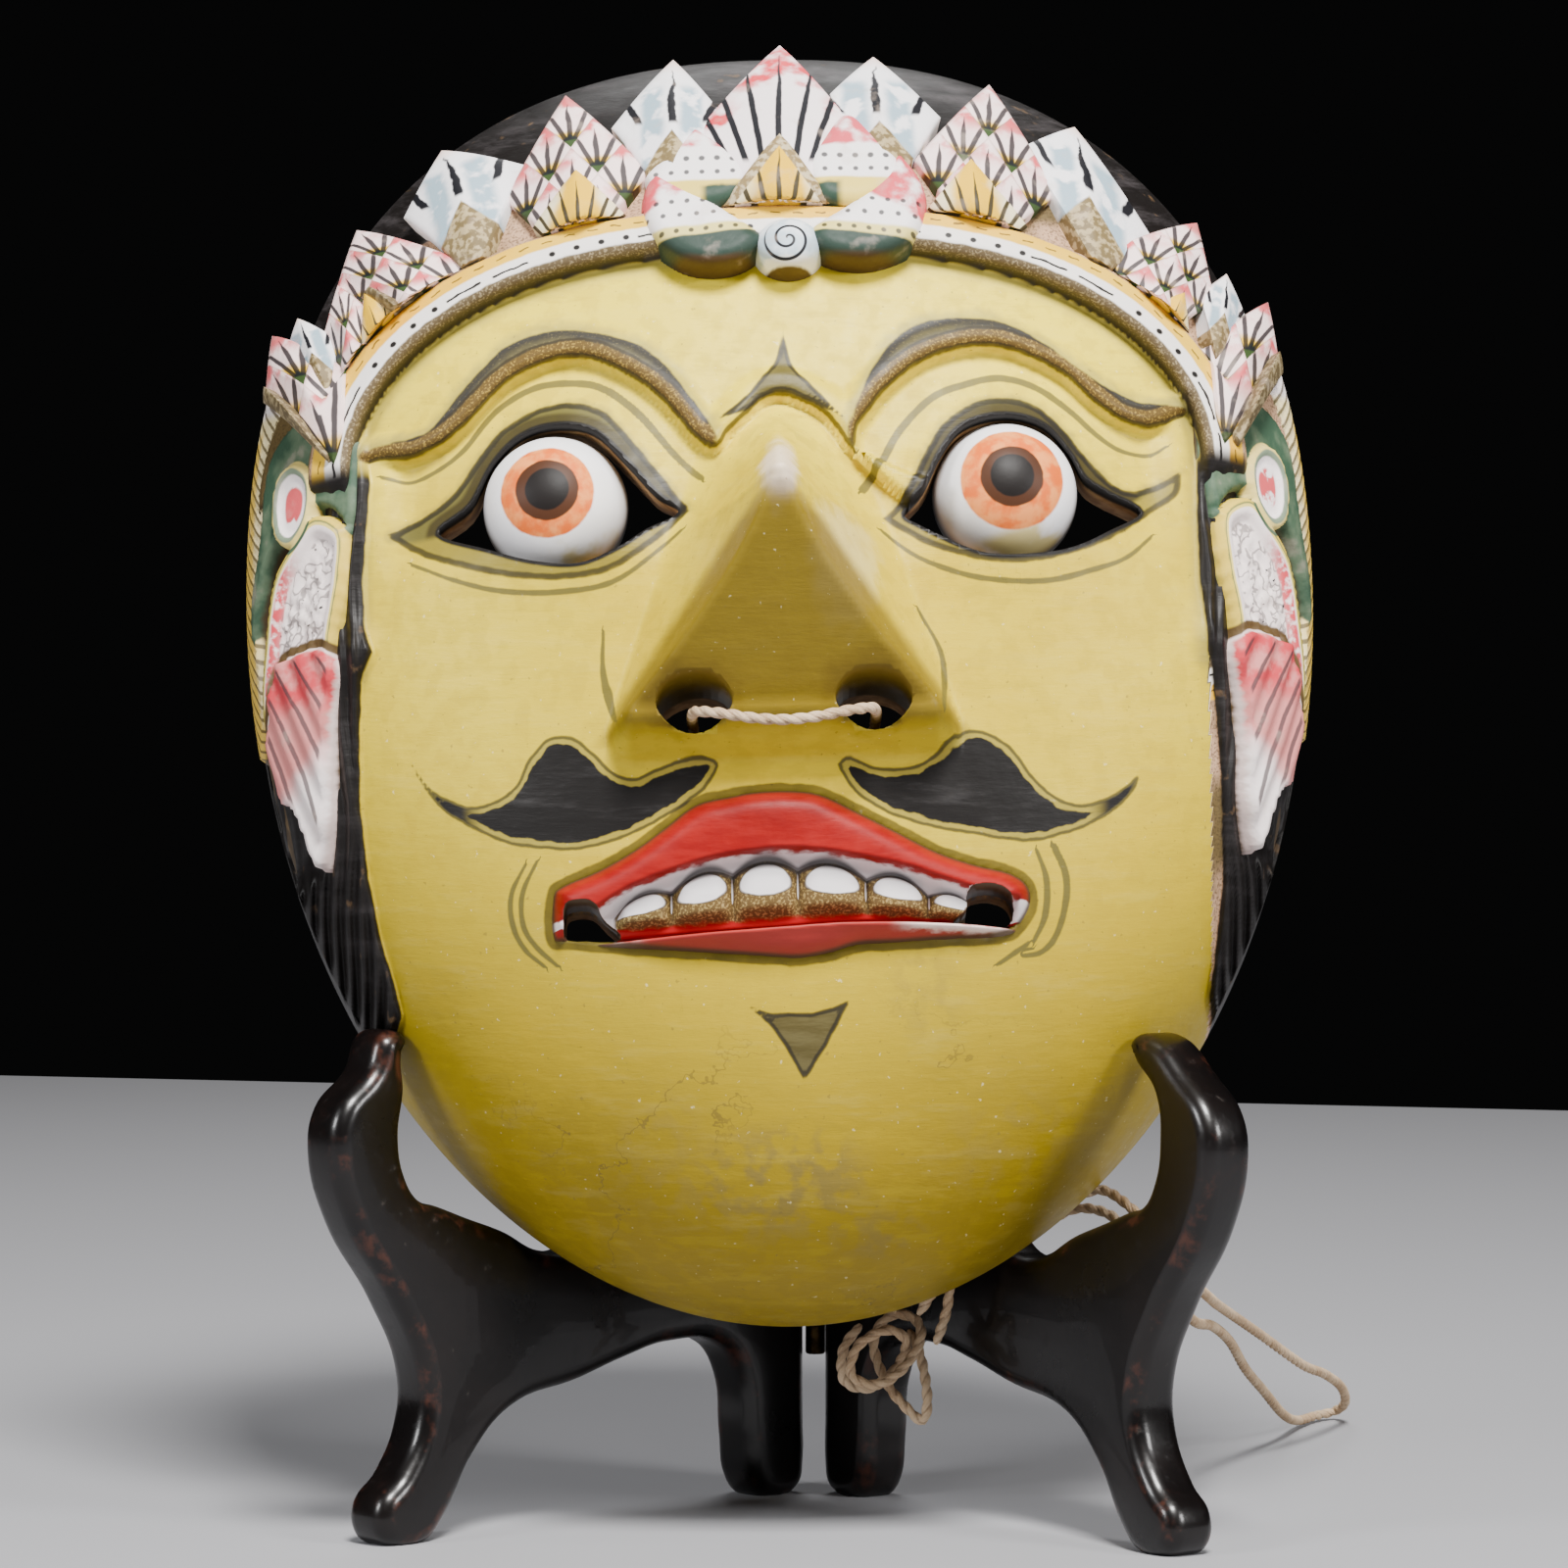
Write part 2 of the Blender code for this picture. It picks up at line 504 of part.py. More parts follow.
def build_hinge(number, height, parts, brass):
    """Small butt hinge behind the boards' meeting corner: a barrel and a plate on each end."""
    halves = [board_frame(-1, LEFT_SWING), board_frame(1, RIGHT_SWING)]
    middle = (halves[0][1] + halves[1][1]).normalized()
    half_angle = halves[0][1].angle(halves[1][1]) / 2
    away = (BARREL_RADIUS + FIT) / sin(half_angle)
    centre = Vector((HINGE_X, HINGE_Y, height)) + middle * away
    bpy.ops.mesh.primitive_cylinder_add(
        vertices=12, radius=BARREL_RADIUS, depth=BARREL_LENGTH, location=centre)
    barrel = bpy.context.object
    barrel.name = f"hinge_barrel_{number}"
    barrel.data.materials.append(brass)
    bpy.context.collection.objects.unlink(barrel)
    parts.objects.link(barrel)
    start = away * cos(half_angle) + BARREL_RADIUS + FIT
    for (along, outward, corner), label in zip(halves, ("left", "right")):
        place = corner + outward * (start + PLATE_WIDTH / 2) - along * (FIT + PLATE / 2)
        turn = Matrix((outward, along, Vector((0, 0, 1)))).transposed().to_4x4()
        work = bmesh.new()
        bmesh.ops.create_cube(work, size=1)
        bmesh.ops.scale(work, vec=(PLATE_WIDTH, PLATE, BARREL_LENGTH), verts=work.verts)
        mesh = bpy.data.meshes.new("hinge_plate")
        work.to_mesh(mesh)
        work.free()
        if turn.determinant() < 0:
            turn = turn @ Matrix.Diagonal((1, 1, -1, 1))
        plate = add_object(f"hinge_plate_{label}_{number}", mesh, parts, brass)
        plate.matrix_world = Matrix.Translation(place + Vector((0, 0, height))) @ turn


# Twine

def smooth_route(route, steps):
    """Smooth curve through points, by Catmull and Rom's formula."""
    padded = np.vstack([2 * route[0] - route[1], route, 2 * route[-1] - route[-2]])
    t = np.linspace(0, 1, steps, endpoint=False)[:, None]
    pieces = []
    for a, b, c, d in zip(padded[:-3], padded[1:-2], padded[2:-1], padded[3:]):
        bend = (2 * a - 5 * b + 4 * c - d) * t ** 2 + (3 * b - a - 3 * c + d) * t ** 3
        pieces.append(0.5 * (2 * b + (c - a) * t + bend))
    return np.vstack(pieces + [route[-1:]])


def build_twine(name, route, parts, fibre):
    """Round strand along a smooth curve through its route, a point every few diameters."""
    fine = smooth_route(np.array(route, float), 24)
    reach = np.concatenate([[0], np.cumsum(np.linalg.norm(np.diff(fine, axis=0), axis=1))])
    count = min(int(reach[-1] / (3 * TWINE)), 78)
    even = np.linspace(0, reach[-1], count)
    places = np.stack([np.interp(even, reach, fine[:, axis]) for axis in range(3)], -1)
    curve = bpy.data.curves.new(name, "CURVE")
    curve.dimensions = "3D"
    curve.bevel_depth = TWINE / 2
    curve.bevel_resolution = 2
    curve.use_fill_caps = True
    spline = curve.splines.new("POLY")
    spline.points.add(count - 1)
    for point, place in zip(spline.points, places):
        point.co = (*place, 1)
    curve.materials.append(fibre)
    parts.objects.link(bpy.data.objects.new(name, curve))


for old in list(bpy.data.objects):
    bpy.data.objects.remove(old)
parts = bpy.data.collections.new("theatre_mask")
cutters = bpy.data.collections.new("cutters")
carvings = bpy.data.collections.new("carvings")
for collection in (parts, cutters, carvings):
    bpy.context.scene.collection.children.link(collection)
lacquer = paint("black_lacquer", (0.012, 0.009, 0.008), 0.25)
brass = paint("brass", (0.45, 0.33, 0.14), 0.4, 1)
fibre = paint("twine_fibre", (0.55, 0.42, 0.28), 0.9)

place = mask_place()
build_mask(place, parts, cutters, carvings)
build_board("stand_left", -1, LEFT_SWING, LEFT_TRIM, parts, lacquer)
build_board("stand_right", 1, RIGHT_SWING, RIGHT_TRIM, parts, lacquer)
for number, height in enumerate(HINGE_HEIGHTS, 1):
    build_hinge(number, height, parts, brass)
build_twine("twine_nose", [place @ (Vector(p) * UNIT) for p in NOSE_ROUTE], parts, fibre)
build_twine("twine_loop", LOOP_ROUTE, parts, fibre)
knot = ball_mesh("twine_knot", KNOT_REACH, Matrix.Translation(KNOT), 12, 8)
add_object("twine_knot", knot, parts, fibre)
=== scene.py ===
"""Looks of a carved and painted wooden theatre mask resting in a folding lacquered stand.

Metres, +Z up, the face looks along -Y. The mask is laid out in carver's units, 82 to the half breadth:
x across, y behind the front, z over the eye line. One matrix leans it back into its stand.
"""
import json
from math import cos, pi, radians, sin

import bmesh
import bpy
import numpy as np
from mathutils import Matrix, Vector

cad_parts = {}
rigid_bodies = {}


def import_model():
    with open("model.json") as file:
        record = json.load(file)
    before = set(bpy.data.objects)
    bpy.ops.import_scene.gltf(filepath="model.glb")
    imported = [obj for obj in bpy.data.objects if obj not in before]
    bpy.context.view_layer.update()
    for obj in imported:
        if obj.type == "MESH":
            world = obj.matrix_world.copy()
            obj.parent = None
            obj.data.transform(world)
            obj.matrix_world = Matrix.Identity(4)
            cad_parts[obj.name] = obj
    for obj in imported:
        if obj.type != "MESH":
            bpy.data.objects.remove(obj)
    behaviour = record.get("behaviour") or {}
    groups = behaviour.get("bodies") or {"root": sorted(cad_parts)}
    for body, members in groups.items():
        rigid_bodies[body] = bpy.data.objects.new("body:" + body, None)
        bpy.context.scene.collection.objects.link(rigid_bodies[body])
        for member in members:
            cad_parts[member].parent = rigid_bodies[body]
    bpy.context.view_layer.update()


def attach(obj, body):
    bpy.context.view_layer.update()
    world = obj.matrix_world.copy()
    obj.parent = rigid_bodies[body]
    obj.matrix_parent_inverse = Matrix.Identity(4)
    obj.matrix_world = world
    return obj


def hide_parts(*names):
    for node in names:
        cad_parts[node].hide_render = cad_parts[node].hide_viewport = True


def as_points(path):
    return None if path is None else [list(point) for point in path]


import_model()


# Camera and lamps. The camera stands a metre in front, a little over the mask's middle, and looks slightly
# down. A soft lamp hangs high in front, two weaker ones stand at the sides and one behind.
CAMERA_PLACE = (0.0006, -0.9583, 0.140)
CAMERA_DOWN = radians(1.5)
camera_data = bpy.data.cameras.new("camera")
camera_data.lens = 144
camera_data.sensor_width = 36
camera_data.shift_x = 0.0019
camera = bpy.data.objects.new("camera", camera_data)
camera.location = CAMERA_PLACE
camera.rotation_euler = (pi / 2 - CAMERA_DOWN, 0, 0)
bpy.context.scene.collection.objects.link(camera)
bpy.context.scene.camera = camera


def add_lamp(name, place, target, size, power, colour):
    """Square soft lamp at a place, turned to a target."""
    data = bpy.data.lights.new(name, "AREA")
    data.shape = "SQUARE"
    data.size = size
    data.energy = power
    data.color = colour
    lamp = bpy.data.objects.new(name, data)
    lamp.location = place
    lamp.rotation_euler = (Vector(target) - Vector(place)).to_track_quat("-Z", "Y").to_euler()
    bpy.context.scene.collection.objects.link(lamp)


add_lamp("key_lamp", (0.12, -0.66, 1.02), (0, 0, 0.16), 0.3, 35, (1, 0.985, 0.96))
add_lamp("left_lamp", (-0.8, -0.55, 0.5), (0, 0, 0.14), 0.25, 6.5, (0.98, 0.99, 1))
add_lamp("right_lamp", (0.8, -0.55, 0.48), (0, 0, 0.14), 0.25, 7.5, (1, 0.99, 0.98))
add_lamp("back_lamp", (0, 0.6, 0.9), (0, 0, 0.18), 0.4, 3, (1, 1, 1))
world = bpy.data.worlds.new("room")
world.use_nodes = True
world.node_tree.nodes["Background"].inputs["Color"].default_value = (0.78, 0.79, 0.8, 1)
world.node_tree.nodes["Background"].inputs["Strength"].default_value = 0.004
bpy.context.scene.world = world


# Surface. A plain pale sheet under the stand; it ends behind it, and the room beyond is dark. Its paint,
# like every other, is written as Python arithmetic on the values of a material.
def maths(operation, turned=False):
    """Operator of a value that adds a Math node, its two sides turned round for a reflected form."""
    def method(self, other):
        sides = [other, self] if turned else [self, other]
        return self.paint.node("ShaderNodeMath", {"operation": operation}, sides)
    return method


class Value:
    """One output of a node."""

    def __init__(self, paint, out):
        self.paint, self.out = paint, out

    __add__ = __radd__ = maths("ADD")
    __mul__ = __rmul__ = maths("MULTIPLY")
    __sub__ = maths("SUBTRACT")
    __rsub__ = maths("SUBTRACT", True)
    __truediv__ = maths("DIVIDE")
    __pow__ = maths("POWER")
    __or__ = maths("MAXIMUM")
    __and__ = maths("MINIMUM")
    turn_from = maths("ARCTAN2")

    def alone(self, operation):
        """Math node on this value alone."""
        return self.paint.node("ShaderNodeMath", {"operation": operation}, [self])

    def __neg__(self):
        return self * -1

    def __abs__(self):
        return self.alone("ABSOLUTE")

    def fraction(self):
        return self.alone("FRACT")

    def root(self):
        return self.alone("SQRT")

    def over(self, low, high):
        """0 below low, 1 above high, smooth between."""
        settings = {"interpolation_type": "SMOOTHSTEP"}
        return self.paint.node("ShaderNodeMapRange", settings, [self, low, high, 0, 1])

    def under(self, low, high):
        """1 below low, 0 above high, smooth between."""
        return 1 - self.over(low, high)

    def near(self, low, high):
        """1 within low of nought, 0 beyond high on either side, smooth between."""
        return 1 - abs(self).over(low, high)


class Paint:
    """A material that is being made."""

    def __init__(self, name):
        self.material = bpy.data.materials.new(name)
        self.material.use_nodes = True
        self.tree = self.material.node_tree
        self.shader = self.tree.nodes["Principled BSDF"]

    def node(self, kind, settings=(), values=(), out=0):
        """Add a node: its settings first, then the values or links of its sockets."""
        made = self.tree.nodes.new(kind)
        for key, value in dict(settings).items():
            setattr(made, key, value)
        for key, value in (values.items() if isinstance(values, dict) else enumerate(values)):
            self.feed(made.inputs[key], value)
        return Value(self, made.outputs[out])

    def feed(self, socket, value):
        """Link a value to a socket, or set it."""
        if isinstance(value, Value):
            self.tree.links.new(value.out, socket)
        elif isinstance(value, tuple) and len(value) == 3 and len(socket.default_value) == 4:
            socket.default_value = (*value, 1)
        else:
            socket.default_value = value

    def field(self, name):
        """A number stored at the mesh's points."""
        return self.node("ShaderNodeAttribute", {"attribute_name": name}, out="Fac")

    def metres(self):
        """The place in metres."""
        return self.node("ShaderNodeTexCoord", out="Object")

    def noise(self, scale, detail=3, roughness=0.5, stretch=None):
        """Cloudy values about 0.5; scale is in waves to a metre."""
        vector = self.metres()
        if stretch:
            vector = self.node("ShaderNodeVectorMath", {"operation": "MULTIPLY"}, [vector, stretch])
        values = {"Vector": vector, "Scale": scale, "Detail": detail, "Roughness": roughness}
        return self.node("ShaderNodeTexNoise", (), values)

    def mix(self, share, low, high):
        """Colour between two colours."""
        return self.node("ShaderNodeMix", {"data_type": "RGBA"}, {0: share, 6: low, 7: high}, 2)

    def finish(self, colour, roughness, bump=None, height=0.0001, **others):
        """Feed the shader; bump is a height in units of the given height."""
        self.feed(self.shader.inputs["Base Color"], colour)
        self.feed(self.shader.inputs["Roughness"], roughness)
        for name, value in others.items():
            self.feed(self.shader.inputs[name.replace("_", " ")], value)
        if bump is not None:
            normal = self.node("ShaderNodeBump", (), {"Strength": 1.0, "Distance": height, "Height": bump})
            self.feed(self.shader.inputs["Normal"], normal)
        return self.material


def colour(red, green, blue):
    """Linear colour from screen values of 0 to 255."""
    return tuple(((c / 255 + 0.055) / 1.055) ** 2.4 if c > 10 else c / 3295 for c in (red, green, blue))


floor_paint = Paint("pale_sheet")
floor_paint.finish(colour(150, 150, 154), 0.8)
FLOOR_REACH = 2
FLOOR_ENDS = (1.49, 0.3)      # how far behind the mask it ends on the left and on the right
floor_corners = [(-FLOOR_REACH, -FLOOR_REACH, 0), (FLOOR_REACH, -FLOOR_REACH, 0),
                 (FLOOR_REACH, FLOOR_ENDS[1], 0), (-FLOOR_REACH, FLOOR_ENDS[0], 0)]
floor_mesh = bpy.data.meshes.new("floor")
floor_mesh.from_pydata(floor_corners, [], [(0, 1, 2, 3)])
floor_mesh.materials.append(floor_paint.material)
floor = bpy.data.objects.new("floor", floor_mesh)
bpy.context.scene.collection.objects.link(floor)


# The mask's block. One piece of light wood: a dome over a flat back, its form a superellipse. The same
# form carries every carved part on it, so the functions here give heights over it in carver's units.
HALF_WIDTH = 0.083
TEMPLE = 82                   # half breadth in units
UNIT = HALF_WIDTH / TEMPLE
LEAN = radians(16)
ROLL = radians(1.3)
MASK_X = 0.0003
MASK_Y = 0.0317
SEAT_REACH = 0.0425
SEAT_LEVEL = 0.0469
CROWN_HEIGHT = 87
CHIN_DROP = 113
FACE_DEPTH = 58
FULLNESS = 0.8
CROWN_SQUARENESS = 2.3
JAW_SQUARENESS = 1.97
WALL = 0.009 / UNIT
seat_share = (1 - (SEAT_REACH / HALF_WIDTH) ** JAW_SQUARENESS) ** (1 / JAW_SQUARENESS)
seat_drop = CHIN_DROP * UNIT * seat_share * cos(LEAN) + SEAT_REACH * sin(ROLL)
mask_place = Matrix.Translation((MASK_X, MASK_Y, SEAT_LEVEL + seat_drop))
mask_place = mask_place @ Matrix.Rotation(-LEAN, 4, "X") @ Matrix.Rotation(-ROLL, 4, "Y")
mask_scaled = mask_place @ Matrix.Scale(UNIT, 4)


def ease(value, low, high):
    """0 below low, 1 above high, smooth between."""
    t = np.clip((value - low) / (high - low), 0, 1)
    return t * t * (3 - 2 * t)


def dome_sum(x, z):
    """Superellipse sum of a place on the dome, with the squareness and height used there."""
    height = np.where(z > 0, CROWN_HEIGHT, CHIN_DROP)
    power = np.where(z > 0, CROWN_SQUARENESS, JAW_SQUARENESS)
    total = np.abs(x / TEMPLE) ** power + np.abs(z / height) ** power
    return np.maximum(total, 1e-9), power, height


def dome_depth(x, z):
    """How far the plain dome stands in front of the flat back."""
    total, power, _ = dome_sum(x, z)
    return FACE_DEPTH * np.maximum(1 - total ** (2 / power), 0) ** (FULLNESS / 2)


def dome_normal(x, z):
    """Outward direction of the plain dome."""
    total, power, height = dome_sum(x, z)
    rest = np.maximum(1 - total ** (2 / power), 0)
    common = 2 * total ** (2 / power - 1)
    across = common * np.abs(x / TEMPLE) ** (power - 1) * np.sign(x) / TEMPLE
    up = common * np.abs(z / height) ** (power - 1) * np.sign(z) / height
    front = -(2 / FULLNESS) * rest ** (1 - FULLNESS / 2) / FACE_DEPTH
    normal = np.stack([across, front, up], -1)
    return normal / np.linalg.norm(normal, axis=-1, keepdims=True)


def on_dome(x, z, lift):
    """A point over the dome at breadth x and height z, lifted along the dome's normal."""
    x, z, lift = np.asarray(x, float), np.asarray(z, float), np.asarray(lift, float)
    return np.stack([x, -dome_depth(x, z), z], -1) + dome_normal(x, z) * lift[..., None]


def seen_at(x, z, lift):
    """Points lifted over the dome whose breadth and height in front view are x and z, and their feet."""
    foot_x, foot_z = x * 1.0, z * 1.0
    for _ in range(8):
        normal = dome_normal(foot_x, foot_z)
        foot_x = foot_x + 0.7 * (x - lift * normal[..., 0] - foot_x)
        foot_z = foot_z + 0.7 * (z - lift * normal[..., 2] - foot_z)
    return on_dome(foot_x, foot_z, lift), foot_x, foot_z


def smooth_line(points, steps=6, closed=False):
    """Smooth curve through points, by Catmull and Rom's formula. A doubled point is a corner."""
    route = np.array(points, float)
    if closed:
        padded = np.vstack([route[-1:], route, route[:2]])
    else:
        padded = np.vstack([2 * route[0] - route[1], route, 2 * route[-1] - route[-2]])
    t = np.linspace(0, 1, steps, endpoint=False)[:, None]
    pieces = []
    for a, b, c, d in zip(padded[:-3], padded[1:-2], padded[2:-1], padded[3:]):
        if np.allclose(b, c):
            continue
        bend = (2 * a - 5 * b + 4 * c - d) * t ** 2 + (3 * b - a - 3 * c + d) * t ** 3
        pieces.append(0.5 * (2 * b + (c - a) * t + bend))
    return np.vstack(pieces if closed else pieces + [route[-1:]])


def nearest(line, x, z, closed=False):
    """Distance to a line of points, positive on its left, and the share of its length there."""
    ends = np.roll(line, -1, 0) if closed else line[1:]
    starts = line if closed else line[:-1]
    steps = np.linalg.norm(ends - starts, axis=1)
    reach = np.concatenate([[0], np.cumsum(steps)])
    best, side, share = np.full(x.shape, 1e9), np.zeros(x.shape), np.zeros(x.shape)
    for (ax, az), (bx, bz), step, start in zip(starts, ends, steps, reach):
        dx, dz = bx - ax, bz - az
        along = np.clip(((x - ax) * dx + (z - az) * dz) / max(step * step, 1e-9), 0, 1)
        gap = np.hypot(x - ax - along * dx, z - az - along * dz)
        closer = gap < best - 1e-9
        best = np.where(closer, gap, best)
        side = np.where(closer, dx * (z - az) - dz * (x - ax), side)
        share = np.where(closer, (start + along * step) / reach[-1], share)
    return best * np.where(side < 0, -1, 1), share


def around(outline, x, z, margin, outside, work):
    """Work out a field only near an outline, and give a constant elsewhere."""
    box_low, box_high = outline.min(0) - margin, outline.max(0) + margin
    near = (x > box_low[0]) & (x < box_high[0]) & (z > box_low[1]) & (z < box_high[1])
    field = np.full(x.shape, float(outside))
    field[near] = work(x[near], z[near])
    return field


def inside(points, x, z, steps=5, margin=4.0):
    """Distance to a smooth closed outline, positive inside, at most the margin outside."""
    outline = smooth_line(points, steps, True) if steps > 1 else np.array(points, float)

    def work(px, pz):
        gap = np.full(px.shape, 1e9)
        within = np.zeros(px.shape, bool)
        for (ax, az), (bx, bz) in zip(outline, np.roll(outline, -1, 0)):
            dx, dz = bx - ax, bz - az
            along = np.clip(((px - ax) * dx + (pz - az) * dz) / max(dx * dx + dz * dz, 1e-9), 0, 1)
            gap = np.minimum(gap, np.hypot(px - ax - along * dx, pz - az - along * dz))
            if dz:
                within ^= ((az > pz) != (bz > pz)) & (px < ax + (pz - az) * dx / dz)
        return np.where(within, gap, -np.minimum(gap, margin))

    return around(outline, x, z, margin, -margin, work)


def stroke(points, half_width, x, z):
    """Side distance to a brush stroke's middle, and its half width there, negative away from it."""
    line = smooth_line(points, 6)
    half = np.interp(np.linspace(0, 1, 64), np.linspace(0, 1, len(half_width)), half_width)

    def side_of(px, pz):
        return nearest(line, px, pz)[0]

    def width_of(px, pz):
        gap, share = nearest(line, px, pz)
        return np.interp(share, np.linspace(0, 1, 64), half) - np.maximum(np.abs(gap) - 1, 0) * 2

    return around(line, x, z, 3, 3, side_of), around(line, x, z, 3, -3, width_of)


def add_piece(name, points, faces, material, smooth=True):
    """Mesh object from points in metres and faces, its faces pointing outwards."""
    mesh = bpy.data.meshes.new(name)
    mesh.from_pydata(np.asarray(points).tolist(), [], faces if isinstance(faces, list) else faces.tolist())
    work = bmesh.new()
    work.from_mesh(mesh)
    bmesh.ops.recalc_face_normals(work, faces=work.faces)
    work.to_mesh(mesh)
    work.free()
    if smooth:
        mesh.shade_smooth()
    mesh.materials.append(material)
    piece = bpy.data.objects.new(name, mesh)
    bpy.context.scene.collection.objects.link(piece)
    return piece


def store(piece, **fields):
    """Store numbers at a mesh's points for its material; a grid's numbers serve its back as well."""
    for name, values in fields.items():
        attribute = piece.data.attributes.new(name, "FLOAT", "POINT")
        numbers = np.resize(np.ravel(values), len(piece.data.vertices))
        attribute.data.foreach_set("value", numbers.astype(np.float32))


def points_of(piece):
    """A mesh's points as an array."""
    flat = np.empty(len(piece.data.vertices) * 3, np.float32)
    piece.data.vertices.foreach_get("co", flat)
    return flat.reshape(-1, 3).astype(float)


def settle(piece, node="mask"):
    piece.data.transform(mask_scaled)
    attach(piece, "root")
    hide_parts(node)


def grid_faces(rows, columns, start=0):
    """Four-sided faces of a grid of points."""
    index = start + np.arange(rows * columns).reshape(rows, columns)
    corners = [index[:-1, :-1], index[:-1, 1:], index[1:, 1:], index[1:, :-1]]
    return np.stack([c.ravel() for c in corners], -1), index


def rim_of(index):
    """The border of a grid's points, in order."""
    return np.concatenate([index[:-1, 0], index[-1, :-1], index[:0:-1, -1], index[0, :0:-1]])


def closed_sheet(name, front, back, material):
    """Closed body from two grids of points: a front, a back and the walls between their borders."""
    rows, columns = front.shape[:2]
    faces, index = grid_faces(rows, columns)
    behind, index_back = grid_faces(rows, columns, rows * columns)
    rim, rim_back = rim_of(index), rim_of(index_back)
    walls = np.stack([rim, np.roll(rim, -1), np.roll(rim_back, -1), rim_back], -1)
    points = np.vstack([front.reshape(-1, 3), back.reshape(-1, 3)])
    return add_piece(name, points, np.vstack([faces, behind[:, ::-1], walls]), material)


# Face: outlines traced in carver's units, left and right apart, because a hand painted them.
EYE_HOLE_LEFT = [(-50.6, -0.9), (-45.7, 2.7), (-42.3, 8.7), (-38.2, 12.6), (-33.1, 13.8), (-27.2, 12.4),
                 (-22.2, 7.0), (-18.0, 1.9), (-14.8, -0.9), (-19.5, -3.7), (-23.9, -6.6), (-29.7, -8.6),
                 (-36.3, -7.7), (-42.8, -5.2)]
EYE_HOLE_RIGHT = [(18.4, -2.0), (21.3, 1.8), (24.2, 7.7), (27.7, 12.0), (33.9, 14.0), (39.6, 12.9),
                  (43.3, 8.8), (45.5, 4.9), (48.9, 3.0), (53.9, 0.7), (48.6, -3.5), (43.9, -6.3),
                  (38.9, -7.8), (31.6, -8.5), (26.1, -7.1), (20.5, -4.0)]
EYE_LINE_LEFT = [(-58.2, 0.1), (-58.2, 0.1), (-49.4, 4.0), (-44.2, 10.2), (-40.4, 14.3), (-33.8, 17.1),
                 (-26.5, 15.9), (-20.8, 9.3), (-13.3, -0.9), (-13.3, -0.9), (-18.8, -5.9),
                 (-25.4, -10.0), (-34.1, -10.5), (-42.9, -8.6), (-51.7, -4.7)]
EYE_LINE_RIGHT = [(15.4, -2.7), (15.4, -2.7), (18.5, 0.5), (22.0, 7.6), (25.5, 12.9), (31.2, 16.3),
                  (37.9, 16.1), (42.4, 12.3), (46.6, 7.3), (51.1, 3.8), (56.3, 5.2), (60.2, 7.5),
                  (60.2, 7.5), (59.5, 4.0), (55.5, 0.9), (49.7, -3.9), (43.9, -7.0), (37.1, -9.1),
                  (30.4, -9.4), (23.8, -7.9), (19.5, -5.8)]
BROW_TOP_LEFT = [(-62.5, 13.4), (-59.8, 14.0), (-52.8, 14.4), (-49.5, 17.3), (-44.7, 22.9),
                 (-39.8, 27.2), (-33.8, 28.8), (-26.9, 27.8), (-20.5, 25.4), (-16.3, 21.6),
                 (-12.8, 16.3), (-9.7, 11.5)]
BROW_TOP_RIGHT = [(10.3, 10.5), (11.3, 12.9), (13.5, 18.7), (16.9, 24.4), (21.8, 28.1), (28.3, 29.1),
                  (33.5, 28.6), (38.8, 26.1), (44.1, 22.4), (49.4, 19.1), (54.7, 17.5), (61, 17.8)]
BROW_EDGE = [(-62.5, 12), (-59.5, 12.3), (-54.5, 11.7), (-49.5, 13.3), (-45.2, 16.6), (-39.8, 21.7),
             (-33.3, 24.2), (-28.0, 24.1), (-22.8, 21.5), (-18.0, 17.8), (-14.4, 13.5), (-12.3, 10.6),
             (-9.2, 8.3), (-7.6, 10.5), (-4.9, 13.1), (-2.2, 15.9), (0.7, 16.7), (3.3, 15.8),
             (6.8, 13.7), (8.9, 11.2), (10.9, 8.0), (11.6, 11.2), (13.3, 13.8), (16.2, 17.5),
             (21.0, 21.6), (26.5, 24.1), (32.4, 25.0), (37.6, 23.7), (42.9, 21.2), (47.0, 17.5),
             (51.3, 14.8), (55.8, 14.2), (61, 16.9)]
MARK = [(1.1, 27.3), (1.1, 27.3), (0.1, 22.1), (-2.2, 18.9), (-4.9, 15.5), (-8.6, 12.4), (-8.6, 12.4),
        (-4.9, 13.4), (-2.2, 15.9), (0.7, 16.9), (3.3, 16), (6.8, 14), (9.8, 12.2), (9.8, 12.2),
        (7.2, 15.2), (4.6, 18.1), (2.2, 21.6)]
CHIN_MARK = [(-5.9, -73.7), (-5.9, -73.7), (-2.8, -74.6), (0.7, -74.7), (4.2, -74.5), (8.5, -73.2),
             (8.5, -73.2), (6.4, -77.0), (4.0, -80.8), (1.8, -83.8), (1.8, -83.8), (0.0, -80.7),
             (-2.6, -76.8)]
MOUSTACHE_LEFT = [(-55.1, -35.0), (-55.1, -35.0), (-53.1, -38.2), (-49.8, -40.9), (-45.4, -42.6),
                  (-39.9, -40.7), (-37.5, -36.6), (-34.7, -34.0), (-31.2, -34.0), (-28.4, -36.2),
                  (-25.0, -39.7), (-21.7, -40.6), (-17.6, -39.1), (-13.6, -38.2), (-10.3, -38.7),
                  (-10.0, -40.0), (-12.6, -43.2), (-17.8, -46.4), (-23.6, -48.8), (-30.4, -50.1),
                  (-36.7, -49.3), (-40.9, -48.2), (-46.5, -45.1), (-51.5, -41.1)]
